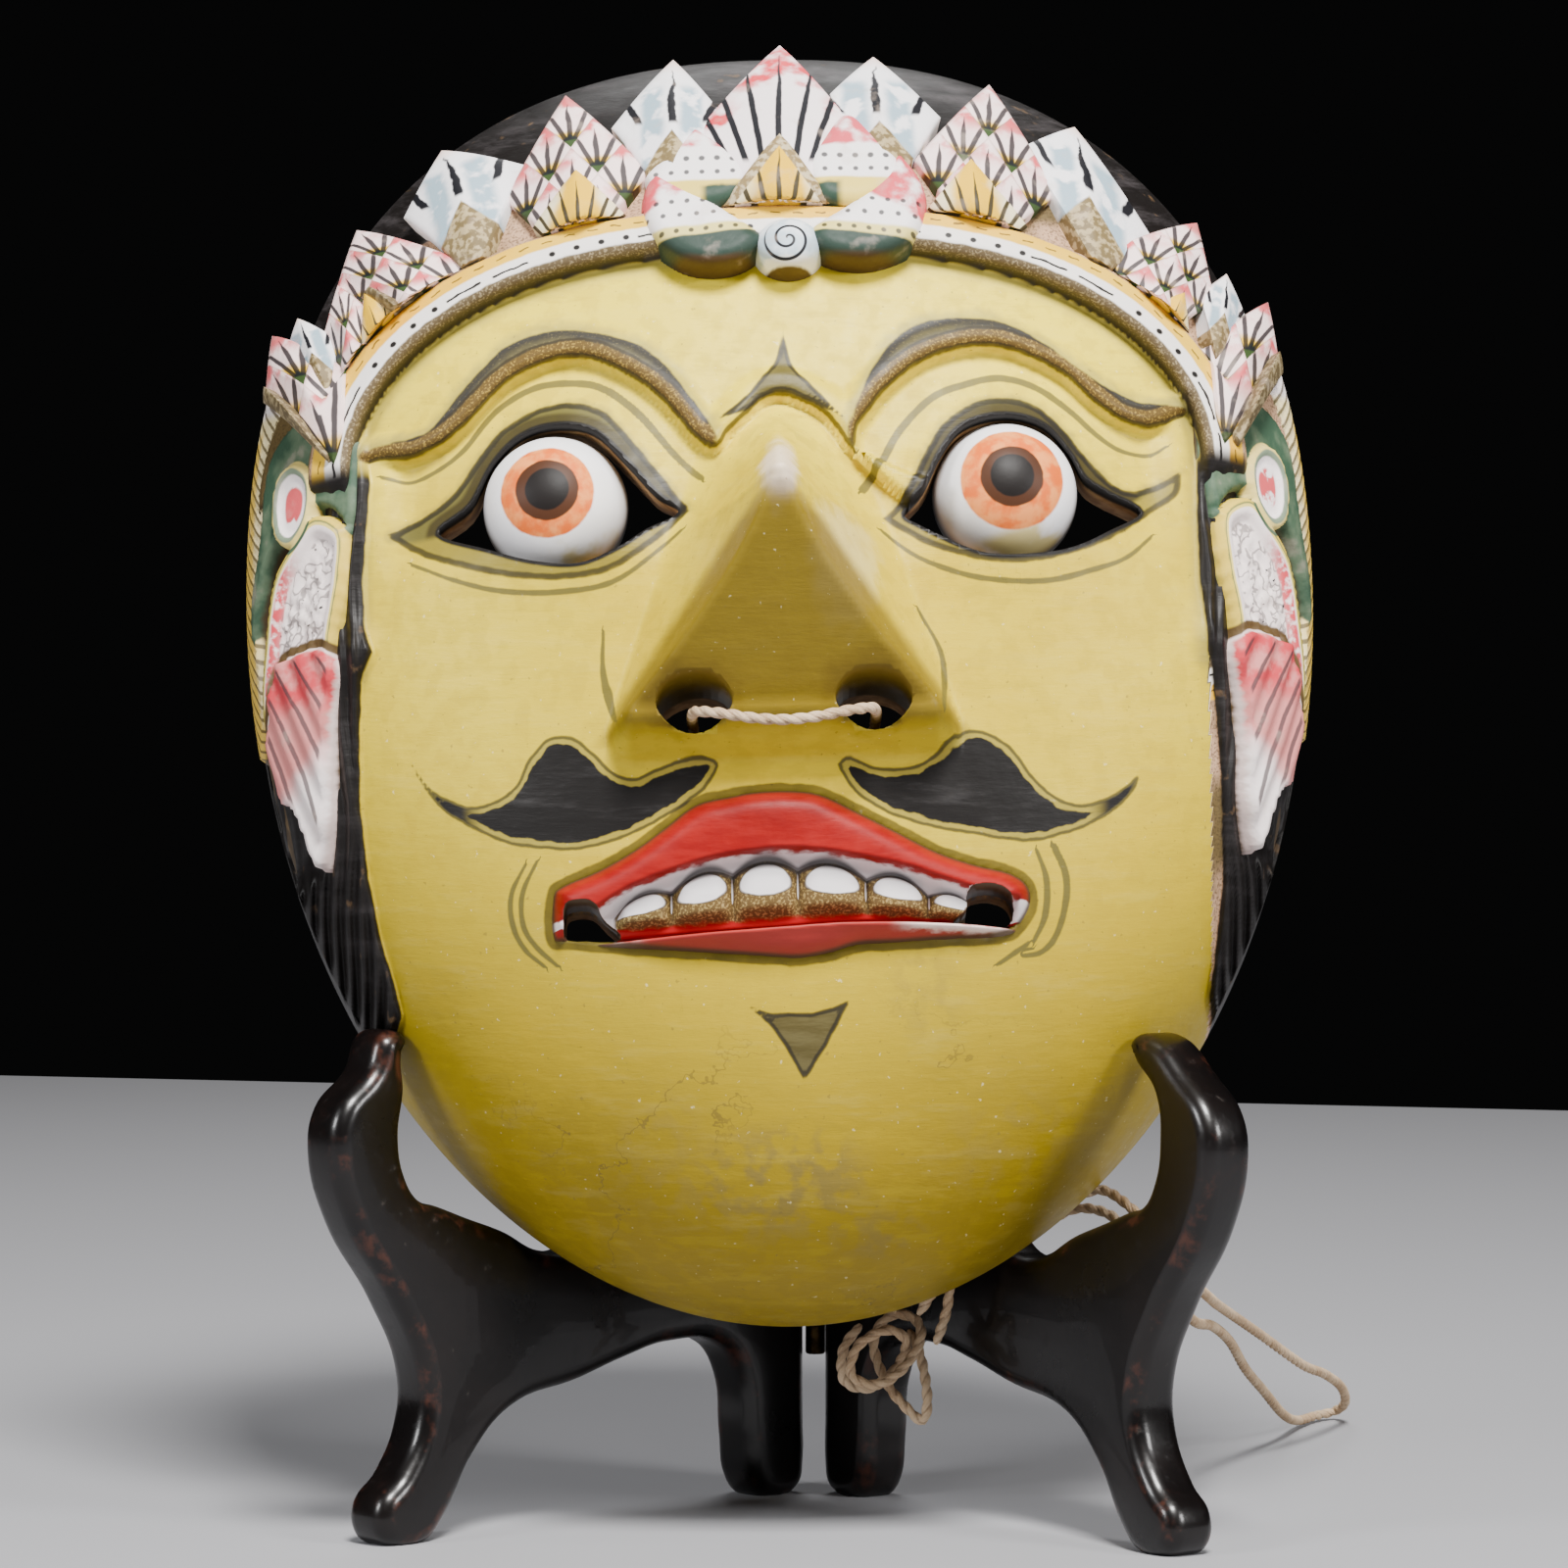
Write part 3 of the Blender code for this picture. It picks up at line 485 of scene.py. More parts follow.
MOUSTACHE_RIGHT = [(8.1, -39.3), (9.6, -38.6), (13.4, -40.1), (19.2, -39.8), (23.2, -37.3),
                   (26.6, -34.6), (30.1, -34.9), (33.5, -37.2), (36.3, -40.9), (40.2, -43.8),
                   (44.0, -44.3), (48.5, -42.3), (52.3, -39.3), (52.3, -39.3), (51.0, -41.8),
                   (47.4, -45.3), (41.5, -48.3), (36.1, -49.9), (30.3, -49.7), (21.8, -48.5),
                   (15.0, -46.6), (10.6, -43.9), (8.1, -40.4)]
HAIR_LEFT = [(-61.5, 16), (-60.7, 8.6), (-61.5, -0.5), (-62.0, -6.5), (-61.7, -14.0), (-60.6, -17.6),
             (-62.3, -21.3), (-62.8, -29.9), (-62.9, -39.7), (-61.9, -49.7), (-60.4, -58.2),
             (-58.4, -65.2), (-57.2, -70.5), (-57.5, -72)]
HAIR_RIGHT = [(63.6, 16), (62.6, 10), (62.2, -0.1), (62.3, -9.0), (63.8, -23.5), (64.8, -37.7),
              (64.9, -51.5), (63.6, -62.6), (63, -67.5), (64, -70)]
BAND_HALF_WIDTH = 63.5
BAND_SPRING = 10
BAND_RISE = 30
STRIP_HEIGHT = 4.5            # the painted strip along the crown's edge
STRIP_WIDTH = 6.6


def band_height(x):
    """Height of the crown's lower edge at each breadth."""
    share = np.minimum(np.abs(x) / BAND_HALF_WIDTH, 1)
    return BAND_SPRING + BAND_RISE * np.sqrt(np.maximum(1 - share ** 2.6, 0))


band_x = BAND_HALF_WIDTH * np.sin(np.linspace(-pi / 2, pi / 2, 181))
band_line = np.stack([band_x, band_height(band_x)], -1)
band_line = np.vstack([[(-BAND_HALF_WIDTH, -20)], band_line, [(BAND_HALF_WIDTH, -20)]])


def band_place(x, z):
    """Distance over the crown's lower edge, and how far along it."""
    gap, share = nearest(band_line, x, z)
    return gap, share * 200


def hair_depth(x, z):
    """How far inside the side hair a place is: behind the hair line, above the lock's lower end."""
    left = np.interp(z, [p[1] for p in reversed(HAIR_LEFT)], [p[0] for p in reversed(HAIR_LEFT)])
    right = np.interp(z, [p[1] for p in reversed(HAIR_RIGHT)], [p[0] for p in reversed(HAIR_RIGHT)])
    edge = np.where(x < 0, left - x, x - right)
    tip = z + 70 + (np.abs(x) - 58) * 1.7
    return np.minimum(edge, np.where(np.abs(x) > 50, tip, -3))


NOSE_HEIGHT = 33
NOSE_TIP = -4
NOSE_ROOT = 17
NOSE_BASE = -33
NOSE_WING = 22.5


def nose_height(x, z):
    """The nose: a concave ridge above the tip, a flat slanted underside between wings below it."""
    side = np.sqrt(x * x + 0.8)
    down = np.clip((NOSE_TIP - z) / (NOSE_TIP - NOSE_BASE), 0, 1)
    up = np.clip((NOSE_ROOT - z) / (NOSE_ROOT - NOSE_TIP), 0, 1)
    top = np.where(z < NOSE_TIP, NOSE_HEIGHT * (1 - 0.68 * down), NOSE_HEIGHT * up ** 1.35)
    edge = np.where(z < NOSE_TIP, 1 + (NOSE_WING - 1) * down ** 1.5, 0)
    reach = 9 + 7 * up + 9.5 * down
    fall = np.clip(1 - (side - edge) / (reach - edge), 0, 1)
    return top * fall ** (1.5 - 0.8 * down) * ease(z, NOSE_BASE - 6, NOSE_BASE - 1)


LIPS = [(-34.4, -62.2), (-34.3, -56.7), (-32.8, -55.2), (-27.6, -53.5), (-22.5, -51.1), (-17.8, -48.1),
        (-13.2, -45.0), (-8.1, -44.0), (-4.7, -43.5), (-0.1, -43.4), (4.9, -44.0), (10.0, -46.4),
        (16.1, -49.4), (21.7, -52.1), (27.3, -53.8), (32.5, -54.8), (35.1, -56.5), (35.3, -59.3),
        (32.9, -62.7), (29.4, -63.8), (24.2, -64.2), (15.7, -64.9), (10.1, -65.2), (6.1, -66.3),
        (1.5, -67.0), (-4.1, -66.6), (-12.1, -65.8), (-19.3, -65.0), (-26.6, -63.9), (-32.4, -62.9)]


def carving(x, z):
    """Height of the block's own carving over the dome. It sinks under the lips and the ears' ornament."""
    gap, _ = band_place(x, z)
    rounding = np.sqrt(1 - (1 - np.clip(gap / 2.4, 0, 1)) ** 2)
    crown = ease(z, 5, 11)
    height = np.where(gap > 0, STRIP_HEIGHT * rounding, 0)
    height -= 2.3 * ease(gap, STRIP_WIDTH, STRIP_WIDTH + 1) + 2.6 * ease(gap, 15, 18)
    height *= crown
    hair = hair_depth(x, z)
    combed = 0.55 * np.sin(np.abs(x) * 2.9 + 1.9 * np.sin(z / 9) + 0.9 * np.sin(z / 3.7))
    under_ear = ease(np.abs(x), 65, 72) * ease(z, -50, -42) * (1 - ease(z, 30, 36))
    combed = (1.4 + combed * ease(hair, 0.5, 2)) * (1 - 1.6 * under_ear)
    height += combed * ease(hair, 0, 1.1) * np.where(gap > 0, 1 - crown, 1)
    height += 1.6 * np.exp(-((np.abs(x) - 63.6) / 2.6) ** 2 - ((z + 17.5) / 4) ** 2)
    below, _ = nearest(smooth_line(BROW_EDGE, 3), x, z)
    under = -below
    height -= 2.8 * ease(under, 0, 1.0) * (1 - ease(under, 6, 22)) * (1 - ease(np.abs(x), 54, 61)) * (z < 30)
    height += 0.9 * ease(below, 0, 0.8) * (1 - ease(below, 2.6, 4.6)) * (np.abs(x) < 62)
    height += 2.8 * np.exp(-((np.abs(x) - 33.3) ** 2 + (z - 2.6) ** 2) / 17 ** 2)
    return height - 4 * ease(inside(LIPS, x, z, 3), 0.3, 1.3)


def disc_grid(cells):
    """Square grid pressed into the mask's outline, denser on the face than on the crown."""
    across = np.linspace(-1, 1, cells + 1)
    upward = np.interp(np.linspace(0, 1, cells + 1), [0, 0.8, 1], [-1, 0.4, 1])
    a, b = np.meshgrid(across, upward, indexing="ij")
    right, up = a * np.sqrt(1 - b * b / 2), b * np.sqrt(1 - a * a / 2)
    radius = np.maximum(np.hypot(right, up), 1e-9)
    right, up = right / radius, up / radius
    power = np.where(up > 0, CROWN_SQUARENESS, JAW_SQUARENESS)
    stretch = (np.abs(right) ** power + np.abs(up) ** power + 1e-12) ** (-1 / power)
    radius = np.minimum(radius, 1)
    reach = (0.62 * radius + 0.38 * np.sin(radius * pi / 2)) * stretch
    return TEMPLE * reach * right, np.where(up > 0, CROWN_HEIGHT, CHIN_DROP) * reach * up


BLOCK_CELLS = 300
x, z = disc_grid(BLOCK_CELLS)
crown_share = 1 - 0.054 * ease(z, 5, 42)      # the hair stands lower than the leaves' tips
x, z = x * crown_share, z * crown_share
front = seen_at(x, z, carving(x, z))[0]
front[..., 1] -= nose_height(x, z)
faces, index = grid_faces(BLOCK_CELLS + 1, BLOCK_CELLS + 1)
rim = rim_of(index)
flat = front.reshape(-1, 3)
back = flat[rim] * (1, 0, 1) + (0, 0.5, 0)
skirt = len(flat) + np.arange(len(rim))
walls = np.stack([rim, np.roll(rim, -1), np.roll(skirt, -1), skirt], -1)
blank = bpy.data.materials.new("blank")
faces = faces.tolist() + walls.tolist() + [skirt.tolist()]
block = add_piece("block", np.vstack([flat, back]), faces, blank)


def prism(outline):
    """Bar along y with a closed outline, from far in front to the flat back."""
    count = len(outline)
    near = np.column_stack([outline[:, 0], np.full(count, -FACE_DEPTH - NOSE_HEIGHT - 5.0), outline[:, 1]])
    far = near * (1, 0, 1)
    faces = [(k, (k + 1) % count, count + (k + 1) % count, count + k) for k in range(count)]
    return np.vstack([near, far]), faces + [tuple(range(count)), tuple(range(count, 2 * count))]


def ring(centre_x, centre_z, reach_x, reach_z, count=28):
    """Points round an ellipse."""
    turns = np.arange(count) * 2 * pi / count
    return np.column_stack([centre_x + reach_x * np.cos(turns), centre_z + reach_z * np.sin(turns)])


MOUTH_HOLE_LEFT = [(-32.6, -58.6), (-31.4, -58.0), (-28.8, -58.3), (-26.6, -60.5), (-24.6, -62.4),
                   (-26, -63.2), (-32.2, -62.9), (-32.8, -60.8)]
MOUTH_HOLE_RIGHT = [(26.3, -57.8), (29.5, -57.0), (32.1, -57.8), (33.0, -59.9), (31.7, -62.0),
                    (25.2, -62.3), (24.2, -61.6), (26.0, -60.2)]
NOSTRIL = (13, -32.5)
NOSTRIL_REACH = (5.6, 3.7)
cuts = bpy.data.collections.new("cuts")
bpy.context.scene.collection.children.link(cuts)
openings = [smooth_line(EYE_HOLE_LEFT, 5, True), smooth_line(EYE_HOLE_RIGHT, 5, True),
            smooth_line(MOUTH_HOLE_LEFT, 4, True), smooth_line(MOUTH_HOLE_RIGHT, 4, True),
            ring(NOSTRIL[0], NOSTRIL[1], *NOSTRIL_REACH), ring(-NOSTRIL[0], NOSTRIL[1], *NOSTRIL_REACH)]


def add_cutter(points, faces):
    """Body that is cut out of the mask's pieces."""
    cutter = add_piece("cut", points, faces, blank, False)
    bpy.context.scene.collection.objects.unlink(cutter)
    cuts.objects.link(cutter)


for outline in openings:
    add_cutter(*prism(outline))



def hollow_depth(x, z):
    """How far in front of the flat back the hollow reaches, with a deeper place behind the nose."""
    high, low = CROWN_HEIGHT / (CROWN_HEIGHT - WALL), CHIN_DROP / (CHIN_DROP - WALL)
    plain = dome_depth(x * TEMPLE / (TEMPLE - WALL), z * np.where(z > 0, high, low))
    deeper = 16 * np.exp(-(x / 11) ** 2 - ((z + 12) / 17) ** 2)
    return plain * (FACE_DEPTH - WALL) / FACE_DEPTH + deeper * (plain > 0)


HOLLOW_CELLS = 70
x, z = disc_grid(HOLLOW_CELLS)
wall_share = np.where(z > 0, 1 - WALL / CROWN_HEIGHT, 1 - WALL / CHIN_DROP)
x, z = x * (TEMPLE - WALL) / TEMPLE * 0.9999, z * wall_share * 0.9999
depth = hollow_depth(x, z) + 0.25 * np.sin(x * 0.9 + 2 * np.sin(z / 7)) * np.sin(z * 0.55 + np.sin(x / 6))
faces, index = grid_faces(HOLLOW_CELLS + 1, HOLLOW_CELLS + 1)
rim = rim_of(index)
flat = np.stack([x, -depth, z], -1).reshape(-1, 3)
skirt = len(flat) + np.arange(len(rim))
walls = np.stack([rim, np.roll(rim, -1), np.roll(skirt, -1), skirt], -1)
back = flat[rim] * (1, 0, 1) + (0, 5, 0)
add_cutter(np.vstack([flat, back]), faces.tolist() + walls.tolist() + [skirt.tolist()])


def cut_through(piece):
    """Cut the openings and the hollow out of a piece."""
    modifier = piece.modifiers.new("cuts", "BOOLEAN")
    modifier.operand_type = "COLLECTION"
    modifier.collection = cuts
    modifier.solver = "EXACT"
    graph = bpy.context.evaluated_depsgraph_get()
    mesh = bpy.data.meshes.new_from_object(piece.evaluated_get(graph))
    piece.modifiers.clear()
    piece.data = mesh
    mesh.shade_smooth()


cut_through(block)


# Face paint: fields worked out at the block's points. Flat areas are distances to their outlines, and
# brush strokes are a distance to the stroke's middle with its half width, in two sets so that neighbours
# don't meet.
CREASE_LEFT = [(-59.2, 9.4), (-54.0, 8.4), (-47.4, 11.3), (-42.0, 17.2), (-36.5, 20.3), (-31.2, 20.7),
               (-26.0, 19.5), (-20.7, 15.1), (-15.5, 8.4), (-11.4, 4.1)]
CREASE_RIGHT = [(12.3, 1.6), (15.3, 6.2), (18.1, 11.2), (23.0, 16.5), (27.9, 18.8), (33.2, 20.2),
                (38.5, 19.1), (43.3, 16.0), (47.4, 12.5), (51.1, 10.4), (55.6, 10.2), (58.4, 11.7)]
UNDER_LEFT = [(-54.6, -5.2), (-48.2, -8.9), (-40.9, -11.6), (-32.0, -12.6), (-23.5, -11.2),
              (-14.2, -4.1)]
UNDER_RIGHT = [(15.0, -5.0), (20.4, -9.2), (27.0, -11.6), (33.1, -12.3), (39.8, -11.8), (46.0, -9.7),
               (51.3, -7.2), (55.4, -3.2)]
SET_A = [(CREASE_LEFT, (0.15, 0.3, 0.45, 0.5, 0.35)), (CREASE_RIGHT, (0.5, 0.45, 0.45, 0.35, 0.1)),
         ([(-36.6, -51.2), (-38.9, -55.6), (-38.9, -60.0), (-37.1, -63.2), (-33.9, -66.3)],
          (0.1, 0.25, 0.25, 0.15)),
         ([(36.7, -51.4), (38.0, -55.4), (37.7, -60.3), (35.9, -64.2)], (0.15, 0.35, 0.35, 0.15)),
         ([(-26.2, -19.0), (-26.3, -25), (-24.6, -33.0)], (0.1, 0.2, 0.6, 0.1)),
         ([(20, -17.0), (23.4, -24), (23.2, -33.5)], (0.1, 0.2, 0.35, 0.1))]
SET_B = [(UNDER_LEFT, (0.1, 0.28, 0.3, 0.1)), (UNDER_RIGHT, (0.1, 0.28, 0.3, 0.28, 0.1)),
         ([(-38.4, -51.6), (-40.6, -55.7), (-40.4, -60.1), (-38.6, -63.6), (-35.9, -66.1)],
          (0.1, 0.25, 0.25, 0.1)),
         ([(39.3, -50.6), (40.9, -54.5), (40.7, -59.0), (39.1, -63.4), (36.9, -65.6), (34.4, -66.2)],
          (0.45, 0.4, 0.3, 0.2)),
         ([(35.2, -64.4), (30.5, -67.6)], (0.2, 0.25, 0.15))]


def stroke_fields(strokes, x, z):
    """Side distance and half width of the stroke that is nearest in a set."""
    side, width = np.full(x.shape, 3.0), np.full(x.shape, -3.0)
    for points, half_width in strokes:
        new_side, new_width = stroke(points, half_width, x, z)
        closer = new_width - np.abs(new_side) > width - np.abs(side)
        side, width = np.where(closer, new_side, side), np.where(closer, new_width, width)
    return side, width


def paint_fields(piece):
    """Store the fields that the painted wood's material reads, from a piece's points in units."""
    x, y, z = points_of(piece).T
    gap, run = band_place(x, z)
    side_a, width_a = stroke_fields(SET_A, x, z)
    side_b, width_b = stroke_fields(SET_B, x, z)
    brow_low = nearest(smooth_line(BROW_EDGE, 4), x, z)[0]
    behind = (y + dome_depth(x, z)) * -dome_normal(x, z)[:, 1]
    inner = hollow_depth(x, z)
    behind = np.maximum(behind, np.where(inner > 1, y + inner + 8.5, -9))
    store(piece, across=x, level=z, behind=behind,
          eye=np.maximum(inside(EYE_LINE_LEFT, x, z), inside(EYE_LINE_RIGHT, x, z)),
          eye_hole=np.maximum(inside(EYE_HOLE_LEFT, x, z), inside(EYE_HOLE_RIGHT, x, z)),
          brow=np.maximum(inside(BROW_TOP_LEFT + BROW_EDGE[12::-1], x, z),
                          inside(BROW_TOP_RIGHT + BROW_EDGE[:19:-1], x, z)),
          brow_low=np.clip(brow_low, -6, 12), mark=np.maximum(inside(MARK, x, z), inside(CHIN_MARK, x, z)),
          whisker=np.maximum(inside(MOUSTACHE_LEFT, x, z), inside(MOUSTACHE_RIGHT, x, z)),
          lips=inside(LIPS, x, z), band=gap, run=run, hair=np.clip(hair_depth(x, z), -4, 8),
          side_a=side_a, width_a=width_a, side_b=side_b, width_b=width_b)


paint_fields(block)
wood = Paint("painted_wood")
across, level = wood.field("across"), wood.field("level")
cloud, fine, speck = wood.noise(30, 4), wood.noise(300, 4), wood.noise(1100, 2)
brushed = wood.noise(60, 5, stretch=(1, 1, 6), roughness=0.7)
INK = colour(26, 24, 23)
SMOKE = colour(72, 70, 44)
BRONZE = colour(92, 72, 34)
tone = wood.mix(cloud.over(0.3, 0.7), colour(200, 172, 22), colour(212, 187, 40))
# painted light and shade: the face is painted lighter towards the top, and darker towards the chin and the
# flanks
tone = wood.mix((level + cloud * 24).over(4, 44) * 0.8, tone, colour(234, 210, 52))
tone = wood.mix((-level + cloud * 50 + abs(across) * 0.3).over(62, 140) * 0.85, tone, colour(122, 99, 8))
tone = wood.mix(brushed.over(0.52, 0.68) * 0.06, tone, colour(226, 214, 140))
tone = wood.mix(fine.over(0.46, 0.6) * 0.22, tone, colour(168, 142, 12))
tone = wood.mix(brushed.under(0.36, 0.46) * 0.25, tone, colour(176, 152, 26))


def spot(place_x, place_z, reach_x, reach_z):
    """1 in the middle of an oval on the face, 0 outside it."""
    ratio = ((across - place_x) * (1 / reach_x)) ** 2 + ((level - place_z) * (1 / reach_z)) ** 2
    return (ratio + (fine - 0.5) * 1.2 + (cloud - 0.5) * 0.8).under(0.15, 1.1)


for place_x, place_z, reach_x, reach_z, strength in (
        (-2, -97, 16, 9, 0.55), (12, -104, 9, 4, 0.4), (-20, -92, 10, 12, 0.25), (20, -72, 7, 9, 0.22),
        (0, 8, 9, 5, 0.12), (35, -92, 18, 12, 0.2)):
    tone = wood.mix(spot(place_x, place_z, reach_x, reach_z) * fine.over(0.42, 0.62) * strength, tone,
                    colour(104, 92, 66))
tone = wood.mix(spot(0, -2, 3.4, 9.5) * 0.9, tone, colour(226, 206, 186))
tone = wood.mix(spot(9, -14, 6, 12) * 0.35, tone, colour(222, 208, 170))
tone = wood.mix(spot(0, -8, 5, 2.2) * 0.5, tone, colour(118, 100, 74))
# painted shade: a dark oval round each nostril's opening
for place_x in (-14, 13):
    tone = wood.mix(spot(place_x, -31.5, 8.5, 5.5) * 0.85, tone, colour(52, 40, 14))
# painted shade: the nose's slanted underside is painted darker
nose_underside_shade = (abs(across) - 14 + (level + 20) * 0.8).under(-1, 3)
nose_underside_shade = nose_underside_shade * (level + 8).under(-2, 2) * level.over(-37, -34)
tone = wood.mix(nose_underside_shade * 0.88, tone, colour(104, 84, 18))
crack = abs(wood.noise(26, 6, roughness=0.62) - 0.5)
cracked = crack.under(0.0012, 0.0045) * level.under(-86, -66) * cloud.over(0.4, 0.6)
tone = wood.mix(cracked * 0.6, tone, colour(96, 80, 44))
tone = wood.mix(speck.over(0.70, 0.76) * 0.5, tone, colour(112, 96, 48))
tone = wood.mix(speck.under(0.24, 0.29) * 0.4, tone, colour(240, 228, 178))

# soft grey wash under the crown's edge, then the lines on the forehead, lids, brows and cheeks
band, run = wood.field("band"), wood.field("run")
rough = 0.46 + (fine - 0.5) * 0.3
wobble = (wood.noise(420, 2) - 0.5)
wash = band.over(-3.4, -0.5) * (0.25 + 0.5 * brushed) * band.under(0, 0.3)
tone = wood.mix(wash, tone, colour(120, 116, 84))
for name in ("a", "b"):
    line = wood.field(f"width_{name}") - abs(wood.field(f"side_{name}")) + wobble * 0.25
    tone = wood.mix(line.over(-0.28, 0.0) * 0.85, tone, SMOKE)
eye, hole = wood.field("eye"), wood.field("eye_hole")
corner_level = -1.5 + 9 * across.over(46, 62)
upper = (level - corner_level).over(-0.6, 0.8)
tone = wood.mix((eye + wobble * 2).over(-1.4, 0.2) * upper * 0.5, tone, colour(92, 90, 68))
tone = wood.mix((eye + wobble).over(-0.3, 0.3) * (0.7 + 0.2 * upper), tone,
                wood.mix(hole.over(-2.4, -1.5) * upper, colour(84, 80, 42), INK))
tone = wood.mix(hole.over(-0.8, -0.35), tone, INK)
outline = (eye + wobble * 0.4 - 0.3).near(0.3, 0.7)
tone = wood.mix(outline * 0.8, tone, INK)
brow, brow_low = wood.field("brow"), wood.field("brow_low")
glitter = wood.noise(2600, 2)
wash = (brow + wobble * 2.2).over(-2.2, -0.2) * brow_low.over(0, 0.6) * 0.5
tone = wood.mix(wash, tone, colour(118, 116, 86))
in_brow = (brow + wobble * 0.6).over(-0.25, 0.25)
body = wood.mix((brow + wobble * 1.2).over(0.9, 2.2), colour(56, 54, 50), colour(84, 78, 54))
body = wood.mix(glitter.over(0.58, 0.75) * 0.5, body, colour(128, 116, 78))
edge = wood.mix(glitter.over(0.5, 0.68), BRONZE, colour(150, 124, 58))
body = wood.mix((brow_low + wobble * 0.6).under(1.8, 2.4), body, edge)
body = wood.mix((brow_low + wobble * 0.6 - 2.3).near(0.1, 0.4) * 0.8, body, colour(46, 40, 30))
tone = wood.mix(in_brow, tone, body)
arch_line = (brow_low + wobble * 0.3).near(0.15, 0.42)
tone = wood.mix(arch_line * across.near(61, 62) * 0.85, tone, colour(52, 44, 26))
mark = wood.field("mark") + wobble * 0.5
mark_colour = wood.mix(brushed.over(0.4, 0.6), colour(74, 70, 52), colour(50, 47, 36))
tone = wood.mix(mark.over(-0.3, 0.3) * 0.9, tone, mark_colour)
tone = wood.mix((mark - 0.25).near(0.15, 0.45) * 0.75, tone, INK)
whisker = wood.field("whisker") + wobble * 0.5
tone = wood.mix(whisker.over(-0.3, 0.2) * 0.62, tone, colour(116, 110, 62))
tone = wood.mix((whisker - 0.1).near(0.1, 0.4) * 0.8, tone, colour(44, 42, 28))
black = (whisker + wobble * 0.6).over(0.85, 1.15) | whisker.over(0.1, 0.35) * abs(across).over(44, 48)
tone = wood.mix(black, tone, wood.mix(brushed.over(0.5, 0.8) * 0.5, INK, colour(70, 68, 68)))
lips_out = wood.field("lips") + wobble * 0.5
tone = wood.mix(lips_out.over(-1.4, -1.0) * (0.95 - 0.3 * fine), tone, colour(48, 42, 22))

# the crown's edge: a bronze underside, a white strip with dashes and dots, cream, then orange yellow; a
# painted shadow line runs along the strip's foot
group = (run * (1 / 27)).fraction()
long_dash = ((run * (1 / 6.75)).fraction() - 0.45).near(0.36, 0.4) * group.under(0.5, 0.505)
dots = (((run * (1 / 3.4)).fraction() - 0.5) ** 2 * 11.5 + (band - 3) ** 2).under(0.1, 0.3)
dashes = (band - 2.9 + wobble * 0.8).near(0.1, 0.26) * long_dash | dots * group.over(0.52, 0.54)
tiny = ((run * (1 / 3.1)).fraction() - 0.4).near(0.2, 0.26)
tiny = (band - 5.3 + wobble * 1.2).near(0.05, 0.2) * tiny
strip = wood.mix((band + wobble * 0.5).over(1.75, 2.1), colour(98, 84, 62), colour(232, 226, 220))
sparkle = (band + wobble).under(1.6, 2.2) * glitter.over(0.5, 0.66) * 0.7
strip = wood.mix(sparkle, strip, colour(168, 152, 120))
orange = wood.mix(cloud.over(0.4, 0.6), colour(226, 166, 24), colour(224, 180, 50))
strip = wood.mix((band + wobble * 0.4).over(4.1, 4.5), strip, orange)
strip = wood.mix((dashes + tiny * 0.8) & 1, strip, INK)
# painted shadow: a dark line where the strip steps up from the forehead
strip = wood.mix(band.under(0.1, 0.9), strip, colour(44, 38, 28))
tone = wood.mix(band.over(-0.25, 0.05), tone, strip)
worn = brushed.over(0.45, 0.75) * (0.4 + 0.6 * level.over(20, 50))
hair_colour = wood.mix(worn, colour(20, 17, 16), colour(58, 54, 55))
hair_colour = wood.mix(fine.over(0.64, 0.74) * 0.6, hair_colour, colour(96, 74, 50))
locks = (wood.field("hair") + wobble * 0.4).over(0.1, 0.5) * level.under(9, 12)
locks = locks | band.over(15, 17) * level.over(9, 12)
ground = wood.mix(cloud.over(0.45, 0.55), colour(96, 80, 50), colour(186, 150, 120))
ground = wood.mix(glitter.over(0.5, 0.62) * 0.6, ground, colour(60, 48, 30))
tone = wood.mix(band.over(6.3, 6.6), tone, ground)
tone = wood.mix(locks, tone, hair_colour)
rough = rough + (0.4 - rough) * black * 0.6
behind = wood.field("behind")
bare = behind.over(3.2, 4.4)
grain = wood.noise(60, 4, stretch=(8, 8, 0.6))
timber = wood.mix(grain.over(0.35, 0.68), colour(150, 112, 72), colour(186, 150, 104))
timber = wood.mix(cloud.over(0.5, 0.75) * 0.5, timber, colour(104, 76, 50))
tone = wood.mix(bare, tone, timber)
rough = rough + (0.8 - rough) * bare
wood.finish(tone, rough, brushed * 0.6 + fine * 0.5, 0.00018,
            Specular_IOR_Level=0.2)
block.data.materials.clear()
block.data.materials.append(wood.material)
settle(block)


# Lips and teeth: a thick sheet set in the block's sunk mouth, red lips round a white gum, six teeth with
# bronze lower halves, and a slit painted near black as its shade.
GUM = [(-29.5, -60.5), (-24.9, -57.8), (-20.9, -56.2), (-16.2, -54.8), (-10.6, -53.4), (-4.9, -52.7),
       (0.7, -52.5), (6.4, -53.0), (12.1, -54.0), (17.6, -55.1), (22.2, -56.5), (30, -58.8)]
TOOTH_FOOT = [(-27, -61.6), (-18.1, -61.5), (-9.7, -61.1), (0.5, -60.7), (10.2, -60.5), (18.7, -60.9),
              (29, -61.6)]
SLIT = [(-34, -63.6), (-24.5, -63.4), (-12.0, -63.0), (-1.1, -62.6), (10.2, -62.0), (24.2, -62.0),
        (34, -62.3)]
TOOTH_EDGES = (-26, -17, -8, 1.5, 11.5, 20.5, 28.5)
x, z = np.meshgrid(np.arange(-36, 37.01, 0.33), np.arange(-68.2, -42.6, 0.27), indexing="ij")


def level_at(line, x):
    """Height of a line at each breadth."""
    smooth = smooth_line(line, 5)
    return np.interp(x, smooth[:, 0], smooth[:, 1])


